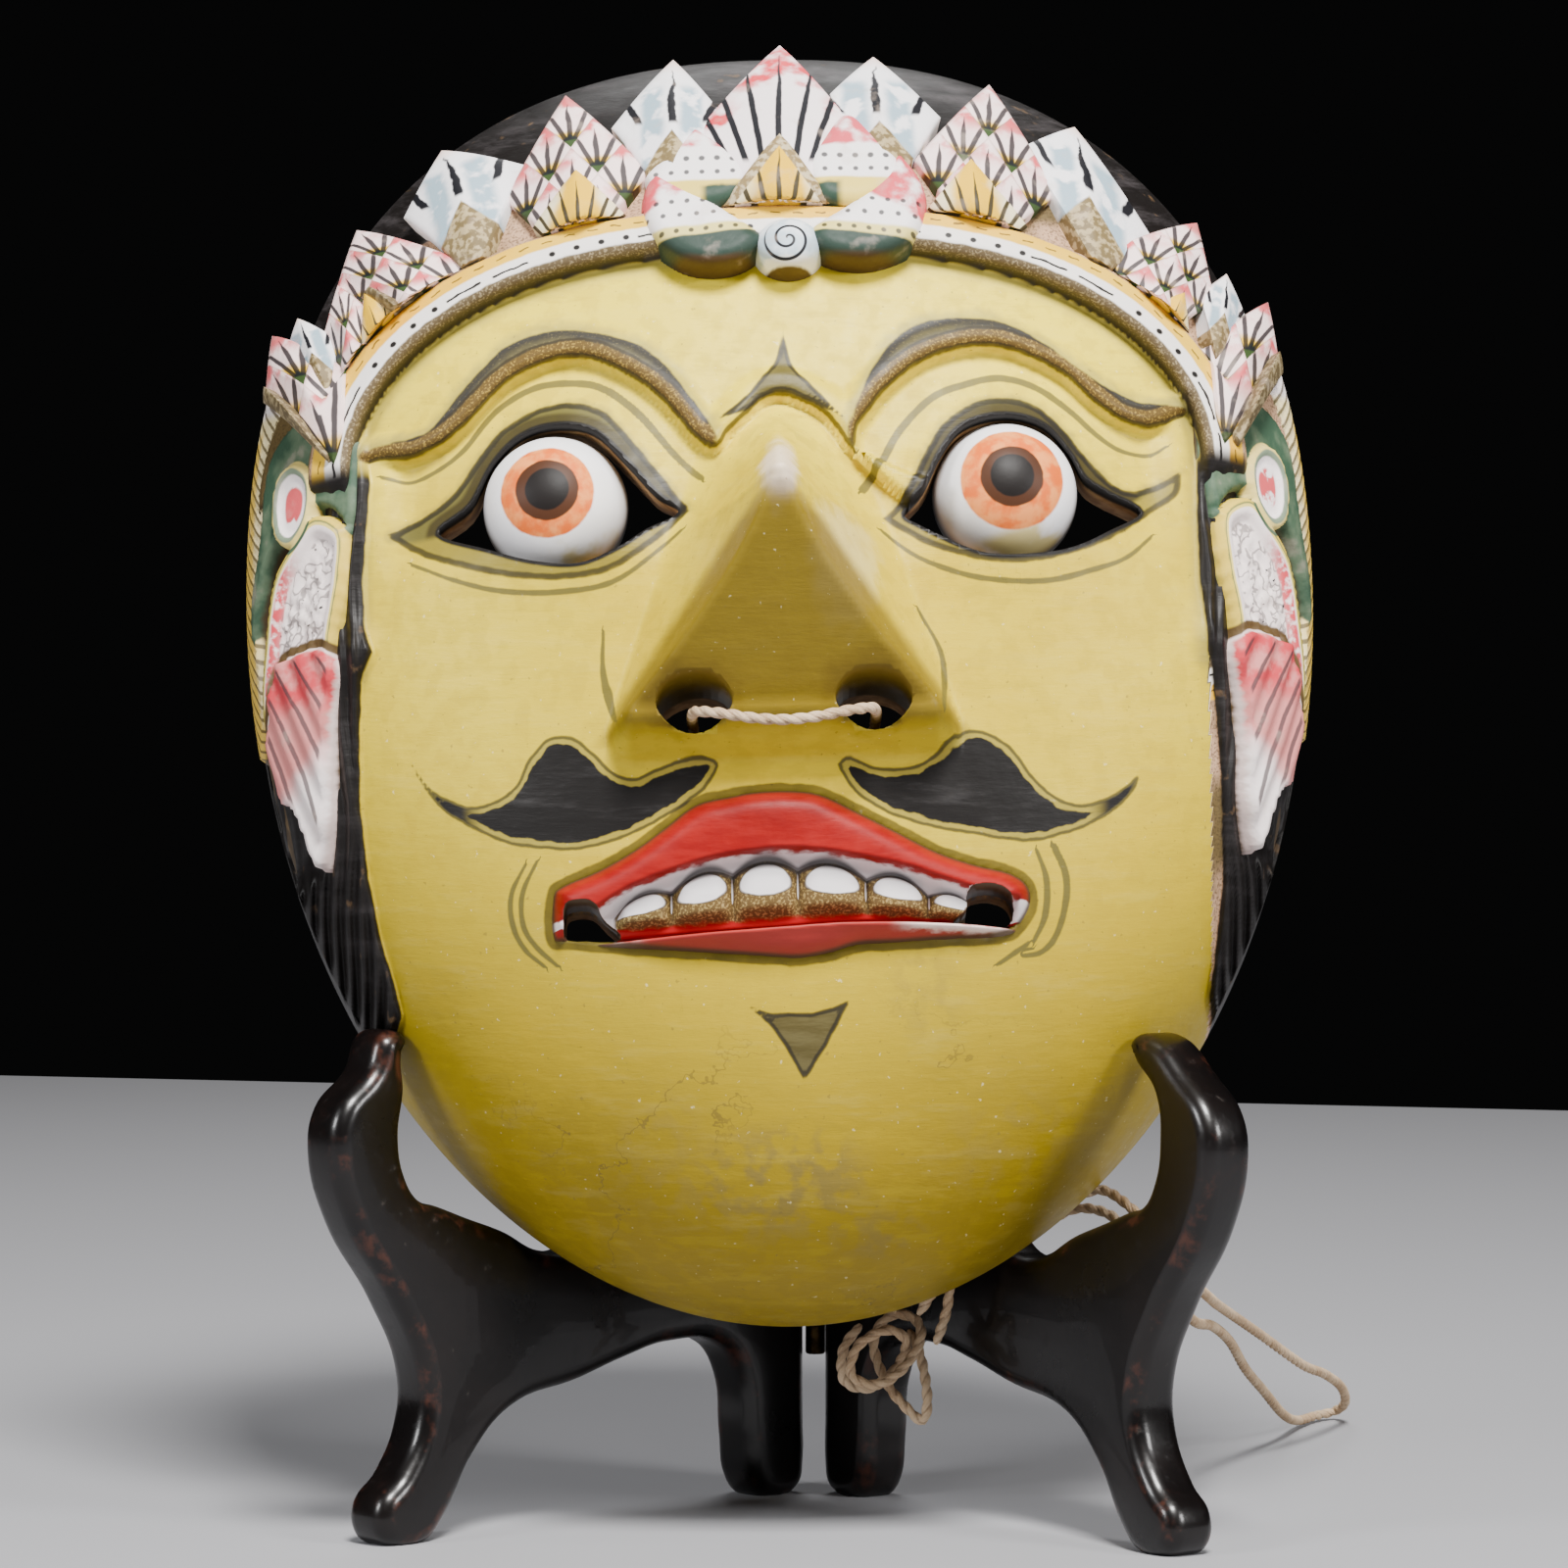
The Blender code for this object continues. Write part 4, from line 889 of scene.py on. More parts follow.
lips = inside(LIPS, x, z, 4, 6)
place = np.interp(x, TOOTH_EDGES, range(7))
side = 2 * (place - np.clip(np.floor(place), 0, 5)) - 1
gum_line, foot, slit = level_at(GUM, x), level_at(TOOTH_FOOT, x), level_at(SLIT, x)
top = gum_line - 1.1 - 1.3 * side ** 2
rise = (z - foot) / np.maximum(top - foot, 0.3)
in_row = np.minimum(place, 6 - place)
tooth = (1 - np.abs(side) ** 4) * ease(rise, -0.15, 0.2)
tooth *= (1 - ease(rise, 0.85, 1.15)) * ease(in_row, 0, 0.25)
inner = np.minimum(gum_line - z, z - slit + 0.6)
inner = np.minimum(inner, (33 - np.abs(x - 0.5)) * 0.8)
upper_lip = 3.6 * np.tanh(np.maximum(lips, 0) / 1.8)
height = upper_lip * (1 - ease(inner, -0.5, 0.5)) - 1.4 * ease(inner, 0, 1.2) + 2.1 * tooth
height += 0.8 * ease(z - slit, -2.4, -0.4) * (1 - ease(z - slit, -0.4, 0.2))
height -= 1.8 * np.exp(-((z - slit) / 0.3) ** 2)
height -= 1.7 * ease(-lips, 0, 0.7)
front, foot_x, foot_z = seen_at(x, z, height)
back = on_dome(foot_x, foot_z, np.full(x.shape, -6.0))
mouth = closed_sheet("mouth", front, back, blank)
store(mouth, lips=lips, rise=rise, side=side, gum=z - gum_line, slit=z - slit, in_row=in_row, across=x)
cut_through(mouth)
lip_paint = Paint("lip_paint")
lips, rise, side = (lip_paint.field(name) for name in ("lips", "rise", "side"))
gum, slit, in_row, across = (lip_paint.field(name) for name in ("gum", "slit", "in_row", "across"))
fine, brushed = lip_paint.noise(500, 3), lip_paint.noise(110, 5, stretch=(1, 1, 5), roughness=0.7)
red = lip_paint.mix(brushed.over(0.38, 0.62), colour(132, 6, 6), colour(146, 20, 16))
red = lip_paint.mix((lips + fine).over(0.6, 1.6) * 1.0, colour(120, 34, 26), red)
low = slit.under(-0.5, 0.1)
red = lip_paint.mix(low * 0.5, red, colour(182, 66, 58))
shine = low * (slit + 1.1 + (fine - 0.5) * 1.2).near(0.2, 0.8)
shine = shine * (across.over(14, 20) | across.under(-26, -20) * 0.7)
red = lip_paint.mix(shine * 0.9, red, colour(238, 214, 204))
mouth_colour = lip_paint.mix((gum + (fine - 0.5) * 0.7).over(-0.15, 0.15), colour(236, 226, 226), red)
row = in_row.over(0.02, 0.1)
scallop = (rise - 1.06).near(0.05, 0.16)
bronze = lip_paint.mix(lip_paint.noise(2600, 2).over(0.48, 0.66), colour(96, 76, 42), colour(158, 136, 84))
oval = (side * (1 / 0.82)) ** 2 + ((rise - 0.68) * (1 / 0.34)) ** 2 + (fine - 0.5) * 0.3
tooth_colour = lip_paint.mix(oval.over(0.86, 1.0), colour(232, 228, 228), bronze)
tooth_colour = lip_paint.mix((oval - 0.95).near(0.04, 0.14) * 0.6, tooth_colour, colour(64, 56, 46))
tooth_colour = lip_paint.mix(abs(side).over(0.9, 0.98) * 0.5, tooth_colour, colour(70, 56, 36))
mouth_colour = lip_paint.mix(row * rise.under(1.04, 1.08), mouth_colour, tooth_colour)
mouth_colour = lip_paint.mix(scallop * row * 0.85, mouth_colour, colour(64, 60, 60))
mouth_colour = lip_paint.mix((rise + (fine - 0.5) * 0.2).under(-0.12, 0.0), mouth_colour,
                             lip_paint.mix(slit.over(-0.6, -0.2), red, colour(160, 14, 20)))
# painted shade: the slit between the teeth and the lower lip is painted near black
slit_shade = (slit + (fine - 0.5) * 0.3).near(0.12, 0.36) * 0.95
mouth_colour = lip_paint.mix(slit_shade, mouth_colour, colour(24, 10, 8))
mouth_colour = lip_paint.mix(lips.under(0.1, 0.6) * 0.9, mouth_colour, colour(70, 52, 34))
lip_paint.finish(mouth_colour, 0.36 + fine * 0.2, fine * 0.4 + brushed * 0.5, 0.00012,
                 Specular_IOR_Level=0.25)
mouth.data.materials.clear()
mouth.data.materials.append(lip_paint.material)
settle(mouth)


# Eyes: carved balls rooted in the wall, white with an orange and a dark ring painted off their middle,
# and painted near black where they sink into the wall, as painted shade.
EYE_RADIUS = 10.8
eye_paint = Paint("eye_paint")
off_iris, smear = eye_paint.field("off_iris"), eye_paint.field("smear")
iris, pupil = eye_paint.field("iris"), eye_paint.field("pupil")
fine, cloud = eye_paint.noise(420, 4), eye_paint.noise(120, 3)
off_iris = off_iris + (fine - 0.5) * 0.35
ball_colour = eye_paint.mix(cloud.over(0.4, 0.7) * 0.5, colour(244, 242, 243), colour(226, 222, 220))
ball_colour = eye_paint.mix(smear * cloud.over(0.42, 0.58) * 0.8, ball_colour, colour(206, 184, 88))
orange = eye_paint.mix(fine.over(0.35, 0.65), colour(214, 98, 30), colour(230, 142, 76))
ball_colour = eye_paint.mix((off_iris - iris).under(-0.15, 0.2), ball_colour, orange)
brown_ring = (off_iris - pupil).under(-0.1, 0.2)
ball_colour = eye_paint.mix(brown_ring, ball_colour, colour(66, 38, 22))
ball_colour = eye_paint.mix((off_iris - pupil).under(-1.5, -1.2), ball_colour, colour(20, 16, 15))
# painted shade: each ball is painted near black from a little in front of its middle to its back, where it
# sinks into the wall
ball_colour = eye_paint.mix(eye_paint.field("edge").over(0, 1), ball_colour, colour(30, 27, 25))
eye_paint.finish(ball_colour, 0.42 + cloud * 0.15, fine * 0.5, 0.00008, Specular_IOR_Level=0.2)
for name, centre_x, centre_z, iris_x, iris_z, iris_reach, pupil_reach in (
        ("eye_left", -33.1, 2.4, -34.1, 2.5, 6.9, 4.6), ("eye_right", 33.6, 3.0, 34.4, 3.1, 7.6, 4.6)):
    middle = seen_at(np.array(centre_x), np.array(centre_z), np.array(-6.5))[0]
    levels = np.linspace(-pi / 2, pi / 2, 49)[1:-1]
    turn, rise = np.meshgrid(np.arange(96) * 2 * pi / 96, levels, indexing="ij")
    ball = np.stack([np.cos(rise) * np.cos(turn), -np.sin(rise), np.cos(rise) * np.sin(turn)], -1)
    ring_points = middle + EYE_RADIUS * ball.reshape(-1, 3)
    poles = middle + np.array([(0, EYE_RADIUS, 0), (0, -EYE_RADIUS, 0)])
    index = np.arange(96 * 47).reshape(96, 47)
    turned = np.roll(index, -1, 0)
    faces = np.stack([index[:, :-1], turned[:, :-1], turned[:, 1:], index[:, 1:]], -1)
    faces = faces.reshape(-1, 4).tolist()
    faces += [(a, b, 96 * 47) for a, b in zip(turned[:, 0].tolist(), index[:, 0].tolist())]
    faces += [(a, b, 96 * 47 + 1) for a, b in zip(index[:, -1].tolist(), turned[:, -1].tolist())]
    eyeball = add_piece(name, np.vstack([ring_points, poles]), faces, eye_paint.material)
    x, y, z = points_of(eyeball).T
    store(eyeball, off_iris=np.hypot(x - iris_x, z - iris_z) + 20 * (y > middle[1]),
          iris=iris_reach, pupil=pupil_reach,
          smear=ease(-(z - centre_z) + (x - centre_x) * 0.3, 6.5, 8.5), edge=(y - middle[1] + 4) / 4)
    settle(eyeball)


# Crown: pointed leaves carved in flat facets with a ridge from tip to foot, standing over black hair.
# A leaf is laid out by two shares that run from its foot along its two lower edges; each kind has its own
# paint. Corners: tip, outer shoulder, foot, inner shoulder.
LEAF_EDGE = 3.2
LEAF_RIDGE = 3.2
WHITE_PINK, STROKE_GREY, RED_PINK = colour(246, 220, 216), colour(24, 24, 28), colour(204, 48, 60)
YELLOW, GREEN = colour(226, 182, 52), colour(50, 68, 34)


def leaf_fields(paint):
    """Shares along the two lower edges, distance up from the foot, and distance across."""
    s, t = paint.field("s"), paint.field("t")
    return s, t, (s + t) * 0.5, s - t


def rays(paint, along, across, spread, thickness, low, high, sway):
    """Brush strokes that fan out from a leaf's foot."""
    turn = across / (along | 0.02) * spread + 0.5 + sway
    middle = abs(turn.fraction() - 0.5) * along * (1 / spread)
    middle = middle + along.over(high - 0.3, high) * thickness * 0.7
    line = middle.under(thickness * 0.6, thickness)
    return line * along.over(low, low + 0.03) * along.under(high - 0.02, high)


def leaf_kind(name):
    """A leaf's paint with its usual noises."""
    paint = Paint(name)
    return paint, paint.noise(220, 4), paint.noise(900, 3)


def leaf_finish(paint, tone, cloud, fine):
    """Worn, slightly glossy paint; its grime sits in thin cloudy stains."""
    tone = paint.mix(cloud.over(0.58, 0.72) * 0.25, tone, colour(190, 172, 158))
    return paint.finish(tone, 0.44 + fine * 0.2, cloud * 0.4 + fine * 0.5, 0.00014, Specular_IOR_Level=0.22)


paint, cloud, fine = leaf_kind("leaf_blue")
s, t, along, across = leaf_fields(paint)
sway = (cloud - 0.5) * 0.5
tone = paint.mix(along.over(0.84, 0.97) * 0.6, colour(234, 232, 234), colour(236, 196, 178))
wash = (abs(across) - 0.34 + sway * 0.4).near(0.1, 0.26) * cloud.over(0.38, 0.5) * along.under(0.72, 0.8)
tone = paint.mix(wash * 0.9, tone, colour(134, 162, 176))
tone = paint.mix(rays(paint, along, across, 0.9, 0.085, 0.5, 0.9, sway * 0.6), tone, STROKE_GREY)
glitter = paint.mix(fine.over(0.45, 0.6), colour(110, 94, 62), colour(168, 150, 112))
tone = paint.mix(((s | t) + sway * 0.1).under(0.46, 0.48), tone, glitter)
leaf_finish(paint, tone, cloud, fine)
leaf_blue = paint.material

paint, cloud, fine = leaf_kind("leaf_scaled")
s, t, along, across = leaf_fields(paint)
scales = paint.field("scales")
small_s, small_t = (s * scales).fraction(), (t * scales).fraction()
along, across = (small_s + small_t) * 0.5, small_s - small_t
sway = (cloud - 0.5) * 0.7
tone = paint.mix((along + sway * 0.4).over(0.5, 0.85) * cloud.over(0.4, 0.58) * 0.9, WHITE_PINK, RED_PINK)
tone = paint.mix((along + sway * 0.3).under(0.24, 0.36), tone, YELLOW)
tone = paint.mix((along + abs(across) * 0.3 + sway * 0.3).under(0.2, 0.28), tone, GREEN)
tone = paint.mix(rays(paint, along, across, 0.85, 0.14, 0.12, 0.8, sway * 0.4) * 0.95, tone, STROKE_GREY)
# painted shade: a darker line along each scale's border with the next
edge = (1 - small_s) & (1 - small_t)
tone = paint.mix(edge.under(0.02, 0.07) * 0.35, tone, colour(150, 128, 118))
leaf_finish(paint, tone, cloud, fine)
leaf_scaled = paint.material

paint, cloud, fine = leaf_kind("leaf_centre")
s, t, along, across = leaf_fields(paint)
sway = (cloud - 0.5) * 0.3
outer_red = (s + sway).over(0.86, 0.93) * t.under(0.3, 0.5)
inner_red = (t + sway).over(0.86, 0.93) * s.under(0.3, 0.5)
red = (along + sway * 0.5).over(0.74, 0.8) | outer_red | inner_red
tone = paint.mix(red * cloud.over(0.36, 0.6), colour(238, 226, 226), RED_PINK)
tone = paint.mix(rays(paint, along, across, 2.3, 0.045, 0.4, 0.94, sway * 0.5), tone, STROKE_GREY)
leaf_finish(paint, tone, cloud, fine)
leaf_centre = paint.material

paint, cloud, fine = leaf_kind("leaf_yellow")
s, t, along, across = leaf_fields(paint)
gilt = paint.field("gilt")
sway = (cloud - 0.5) * 0.4
pale = (abs(across) * 1.2 + along * 0.8 + sway).over(0.9, 1.25)
tone = paint.mix(pale, colour(224, 176, 20), colour(236, 222, 180))
tone = paint.mix(rays(paint, along, across, 2.1, 0.055, 0.16, 0.88, sway * 0.5), tone, colour(62, 54, 34))
bar = (s | t).over(0.885, 0.9) * gilt
tone = paint.mix(bar, tone, paint.mix(fine.over(0.45, 0.6), colour(132, 112, 76), colour(188, 172, 138)))
leaf_finish(paint, tone, cloud, fine)
leaf_yellow = paint.material

paint, cloud, fine = leaf_kind("leaf_gilt")
leaf_finish(paint, paint.mix(fine.over(0.45, 0.62), colour(98, 84, 58), colour(150, 134, 100)), cloud, fine)
leaf_gilt = paint.material

LEAVES = [
    (leaf_blue, 0, 0, [(-14.5, 79.7), (-24.0, 65.5), (-14.5, 48), (-6.0, 65.0)]),
    (leaf_blue, 0, 0, [(16.2, 79.5), (26.0, 66.5), (17.5, 50), (6.0, 66.5)]),
    (leaf_blue, 0, 0, [(-50.2, 66.4), (-56.0, 54.4), (-44.6, 39.5), (-37.0, 60.0)]),
    (leaf_blue, 0, 0, [(46.7, 67.5), (57.6, 48.0), (49.0, 38.0), (38.0, 61.6)]),
    (leaf_scaled, 3, 0.3, [(-31.0, 73.4), (-40.2, 53.7), (-29.7, 41.0), (-18.0, 56.0)]),
    (leaf_scaled, 3, 0.3, [(33.8, 74.4), (43.2, 53.0), (31.7, 41.0), (21.5, 57.5)]),
    (leaf_scaled, 3, 0.3, [(-63.4, 54.4), (-66.8, 43.0), (-53.0, 32.5), (-44.6, 42.6)]),
    (leaf_scaled, 3, 0.3, [(65.1, 53.0), (67.0, 38.0), (57.5, 30.0), (48.8, 43.0)]),
    (leaf_scaled, 2, 0.5, [(-66.1, 44.5), (-68.6, 35.0), (-62.0, 24.0), (-60.6, 38.2)]),
    (leaf_blue, 0, 0.5, [(69.2, 44.4), (72.6, 36.2), (66.2, 27.5), (64.5, 38.3)]),
    (leaf_blue, 0, 0.8, [(-72.6, 41.2), (-74.8, 34.7), (-67.2, 24.4), (-65.4, 34.2)]),
    (leaf_scaled, 2, 1.0, [(-77.0, 40.5), (-78.0, 29.6), (-66.3, 13.7), (-62.5, 27.6)]),
    (leaf_scaled, 2, 1.0, [(76.0, 42.3), (77.3, 29.9), (67.0, 14.0), (63.6, 28.4)]),
    (leaf_centre, 0, 0.9, [(1.9, 81.9), (14.6, 60.6), (1.0, 38.5), (-12.6, 61.2)]),
    (leaf_yellow, 0, 2.6, [(1.4, 62.4), (9.6, 48.1), (1.2, 37.0), (-7.9, 48.5)]),
    (leaf_yellow, 0, 2.2, [(-29.3, 57.3), (-35.9, 47.6), (-28.7, 38.6), (-21.8, 48.4)]),
    (leaf_yellow, 0, 2.2, [(30.1, 57.7), (38.3, 46.2), (30.9, 38.6), (23.2, 48.4)]),
    (leaf_yellow, 0, 2.4, [(-61.6, 40.9), (-62.4, 27.2), (-57.0, 24.5), (-53.8, 34.4)]),
    (leaf_yellow, 0, 2.4, [(61.8, 38.0), (62.6, 28.4), (57.8, 25.5), (54.9, 34.4)]),
    (leaf_gilt, 0, 3.0, [(-77.6, 30.4), (-77.9, 28.2), (-67.2, 14.3), (-66.6, 16.6)]),
    (leaf_gilt, 0, 3.0, [(76.8, 32.4), (77.4, 29.4), (69.3, 14.3), (67.6, 16.6)]),
    (leaf_gilt, 0, 2.4, [(-60.9, 42.0), (-62.2, 40.6), (-53.4, 33.4), (-52.0, 35.0)]),
]
GILT_LEAF = 14                # the one with gilt bars along its upper edges
LEAF_CELLS = 20
lines = np.concatenate([[0, 0.012], np.linspace(0.035, 0.965, LEAF_CELLS), [0.988, 1]])
s, t = np.meshgrid(lines, lines, indexing="ij")
border = ease(np.minimum.reduce([s, 1 - s, t, 1 - t]), -0.004, 0.03)
for number, (material, scales, lift, corners) in enumerate(LEAVES):
    tip, outer, foot, inner = (np.array(corner, float) for corner in corners)
    weights = [s * t, s * (1 - t), (1 - s) * (1 - t), (1 - s) * t]
    flat = sum(w[..., None] * corner for w, corner in zip(weights, (tip, outer, foot, inner)))
    ridge = (1 - np.abs(s - t)) * (0.45 + 0.55 * np.sin(pi * np.clip((s + t) / 2, 0, 1) ** 0.8))
    height = LEAF_EDGE + lift + LEAF_RIDGE * ridge - 0.45 * (1 - border)
    if scales:
        small_s, small_t = s * scales % 1, t * scales % 1
        step = np.maximum(small_s, small_t) ** 3
        height += 0.45 * step * border
    # close to the crown's edge a leaf lies lower, so its foot ends at the painted strip
    gap = band_place(flat[..., 0], flat[..., 1])[0]
    height -= 0.85 * lift * (1 - ease(gap, 7, 13))
    flat[..., 1] -= 0.28 * height + 1.1
    for _ in range(6):
        gap = band_place(flat[..., 0], flat[..., 1])[0]
        flat[..., 1] += np.clip(6.9 - gap, 0, 3) * ease(flat[..., 1], 16, 24) * 0.97
    front, foot_x, foot_z = seen_at(flat[..., 0], flat[..., 1], height)
    leaf = closed_sheet(f"leaf_{number}", front, on_dome(foot_x, foot_z, np.full(s.shape, -3.0)), material)
    store(leaf, s=s, t=t, scales=scales, gilt=float(number == GILT_LEAF))
    leaf.data.set_sharp_from_angle(angle=radians(40))
    settle(leaf)


# Centre of the crown: two scales above, two boat-shaped lobes below, and a knob with a spiral.
def cushion(name, points, lift, rise, roundness, material, step=0.4):
    """Raised field with a rounded edge and its closed outline, set on the dome."""
    outline = smooth_line(points, 5, True)
    low, high = outline.min(0) - 0.5, outline.max(0) + 0.5
    x, z = np.meshgrid(np.arange(low[0], high[0], step), np.arange(low[1], high[1], step), indexing="ij")
    depth = inside(points, x, z, 5)
    dome = np.sqrt(np.maximum(1 - (1 - np.clip(depth / roundness, 0, 1)) ** 2, 0))
    outside = lift * ease(depth, -0.7, 0) - 2.5 * ease(-depth, 0.3, 0.9)
    height = np.where(depth > 0, lift + rise * dome, outside)
    front, foot_x, foot_z = seen_at(x, z, height)
    sheet = closed_sheet(name, front, on_dome(foot_x, foot_z, np.full(x.shape, -3.0)), material)
    store(sheet, depth=depth, across=x, level=z)
    return sheet


def dotted(paint, across, level, row, spacing, reach):
    """A row of painted dots at a level."""
    gap = ((across * (1 / spacing)).fraction() - 0.5) * spacing
    return (gap * gap + (level - row) ** 2).under(reach * reach * 0.4, reach * reach * 1.4)


paint = Paint("lobe_paint")
across, level, depth = paint.field("across"), paint.field("level"), paint.field("depth")
cloud, fine = paint.noise(220, 4), paint.noise(900, 3)
sway = (cloud - 0.5) * 1.6
tilt = level + abs(across) * 0.1 + sway * 0.5
red = (tilt + abs(across) * 0.55 + sway).over(57.2, 58.4) * cloud.over(0.34, 0.56)
tone = paint.mix(red, colour(238, 232, 230), colour(206, 74, 84))
tone = paint.mix(tilt.under(43.6, 44.3), tone, colour(214, 198, 116))
tone = paint.mix(tilt.under(42.0, 42.5), tone, colour(40, 56, 48))
dots = dotted(paint, across, tilt, 43.1, 2.2, 0.42) | dotted(paint, across, tilt, 46.0, 2.5, 0.42)
dots = dots | dotted(paint, across, tilt, 48.4, 2.3, 0.42)
tone = paint.mix(dots * 0.9, tone, STROKE_GREY)
tone = paint.mix(level.under(37.2, 38.6) * depth.under(0.8, 1.6), tone, colour(70, 52, 32))
leaf_finish(paint, tone, cloud, fine)
lobe_paint = paint.material
paint = Paint("upper_scale_paint")
across, level, depth = paint.field("across"), paint.field("level"), paint.field("depth")
cloud, fine = paint.noise(220, 4), paint.noise(900, 3)
sway = (cloud - 0.5) * 1.6
tilt = level + sway * 0.4
red = (tilt + sway).over(56.8, 57.6) * cloud.over(0.3, 0.5)
tone = paint.mix(red, colour(238, 232, 230), colour(206, 80, 90))
tone = paint.mix(tilt.under(50.6, 51.2), tone, colour(216, 190, 88))
tone = paint.mix((tilt + sway).under(49.6, 50.4) * across.near(9.5, 11), tone, colour(42, 62, 50))
dots = dotted(paint, across, tilt, 52.4, 2.3, 0.42) | dotted(paint, across, tilt, 54.9, 2.3, 0.5)
tone = paint.mix(dots * 0.9, tone, STROKE_GREY)
leaf_finish(paint, tone, cloud, fine)
upper_scale_paint = paint.material
for name, lift, rise, material, points in (
        ("scale_left", 4.2, 2, upper_scale_paint,
         [(-11.2, 61.6), (-11.2, 61.6), (-17.2, 55), (-18.6, 51.5), (-14, 47), (-6, 47.5), (-3, 52.8)]),
        ("scale_right", 4.3, 2.2, upper_scale_paint,
         [(11.5, 63.6), (15, 60.5), (19.4, 54.5), (19.6, 50), (14, 46.5), (7, 47.5), (5.2, 53.5), (8, 59)]),
        ("lobe_left", 3.8, 2.8, lobe_paint,
         [(-17.8, 53.9), (-17.8, 53.9), (-19.3, 47.5), (-17.8, 41.5), (-13.2, 37.3), (-8, 36.3),
          (-3.6, 37.8), (-1.6, 41.2), (-6, 45.2), (-12, 49.8)]),
        ("lobe_right", 3.8, 2.8, lobe_paint,
         [(19.4, 56.4), (19.4, 56.4), (22.6, 50.5), (22.8, 44.5), (20.4, 39.7), (14.5, 37.0),
          (9, 37.4), (5.6, 39.8), (6.2, 42.8), (12.4, 47.5)])):
    settle(cushion(name, points, lift, rise, 2.6, material))

paint = Paint("knob_paint")
across, level, depth = paint.field("across"), paint.field("level"), paint.field("depth")
cloud, fine = paint.noise(220, 4), paint.noise(900, 3)
off_x, off_z = across - 2.2, level - 39.6
far = (off_x * off_x + off_z * off_z).root()
turn = off_z.turn_from(off_x) * (0.5 / pi)
spiral = ((far * (1 / 1.75) + turn).fraction() - 0.5) * 1.75
tone = paint.mix(cloud.over(0.4, 0.62), colour(226, 232, 236), colour(178, 196, 206))
tone = paint.mix((level + (cloud - 0.5) * 2).under(36.8, 37.3), tone, colour(236, 234, 228))
tone = paint.mix(spiral.near(0.14, 0.3) * far.under(3.4, 3.7), tone, STROKE_GREY)
tone = paint.mix((level + depth * 0.4).under(35.7, 36.1), tone, colour(76, 58, 36))
leaf_finish(paint, tone, cloud, fine)
settle(cushion("knob", ring(2.3, 39.9, 4.9, 4.4, 20).tolist(), 3.6, 4, 4.2, paint.material, 0.3))


# Ears: painted ornament on each flank, from the fan behind the last leaves down to the hair's grooves.
# It is laid out by height and by the way round the flank from the rim, both in units.
OVAL = [(51, 5), (57, 3.5), (60, 0), (58.8, -7.5), (56, -14.5), (54, -22), (44, -24), (37, -28),
        (31.5, -27), (30.5, -20.5), (34, -12.5), (38.5, -3), (45.5, 2)]
SMALL_OVAL = [(44, 14.5), (49, 12.5), (51, 8.5), (49.6, 3.5), (44.5, 0.5), (39.2, 2.5), (37.4, 7.5),
              (38.9, 12.5)]
WING = [(37.3, -16.5), (43.6, -15.2), (52.6, -15.5), (56.2, -19), (53, -25.5), (50.6, -32.5),
        (48.2, -40), (42.3, -47.6), (42.3, -47.6), (40, -41), (37.5, -37), (32.6, -35.5), (31.6, -26.5)]
FAN = [(61.5, 14.5), (57, 21), (50, 27), (38, 31), (24, 33), (10, 34), (4, 20), (2, 0), (4, -20),
       (16, -26), (26, -20), (25, -6), (30, 2), (35, 12), (39, 20), (45, 21), (52, 16), (58, 12)]
PLATE = [(61.5, 15), (57, 19), (50, 20), (42, 21), (33, 16), (30, 4), (24, -4), (24, -10), (33, 0),
         (44, 6), (53, 6), (58, 3), (60, 0.5), (61.5, 6)]
paint = Paint("ear_paint")
oval, small, wing, fan, plate = (paint.field(name) for name in ("oval", "small", "wing", "fan", "plate"))
way, level = paint.field("way"), paint.field("level")
cloud, fine = paint.noise(220, 4), paint.noise(900, 3)
sway = (cloud - 0.5) * 1.6
tone = paint.mix(cloud.over(0.45, 0.7), colour(66, 52, 34), colour(104, 84, 54))
hatch = ((way * 0.55 + level + sway * 0.5) * (1 / 2.3)).fraction()
pale = (way + sway * 2).over(22, 27) | level.over(22, 25)
fan_colour = paint.mix(pale, colour(212, 176, 74), colour(226, 210, 160))
fan_colour = paint.mix((level + way * 0.2).over(30, 32), fan_colour, colour(226, 216, 214))
fan_colour = paint.mix((hatch - 0.5).near(0.1, 0.2) * 0.85, fan_colour, colour(70, 58, 34))
fan_colour = paint.mix(way.under(7, 9), fan_colour, colour(232, 224, 206))
tone = paint.mix(fan.over(-0.2, 0.2), tone, fan_colour)
green = paint.mix(cloud.over(0.4, 0.6), colour(54, 78, 60), colour(84, 102, 80))
tone = paint.mix((plate + sway * 0.4).over(-0.2, 0.2), tone, green)


def rings(field, tone, *steps):
    """Bands of colour from an outline inwards, each from its distance on."""
    for start, band_colour in steps:
        tone = paint.mix((field + sway * 0.25).over(start - 0.15, start + 0.15), tone, band_colour)
    return tone


tone = rings(oval, tone, (-0.9, green), (0, colour(208, 180, 66)), (1.1, colour(112, 116, 70)),
             (1.4, colour(226, 204, 104)), (1.9, colour(238, 224, 220)))
streak = (oval - 3.2 + sway * 0.5).near(0.6, 1.3) * (way - level * 0.5 - 46).under(-3, 2)
tone = paint.mix(streak * fine.over(0.3, 0.55), tone, colour(196, 62, 70))
flowers = (paint.noise(330, 2) - 0.5) * 2
tone = paint.mix(oval.over(3.6, 4.2) * flowers.near(0.03, 0.09) * 0.7, tone, colour(96, 88, 86))
tone = paint.mix(oval.over(3.6, 4.2) * fine.over(0.66, 0.7), tone, STROKE_GREY)
tone = rings(small, tone, (-0.7, green), (0, colour(212, 192, 112)), (1.2, colour(116, 130, 108)),
             (2.1, colour(236, 226, 224)))
tone = paint.mix(small.over(3.6, 4.2) * cloud.over(0.44, 0.5), tone, colour(200, 80, 84))
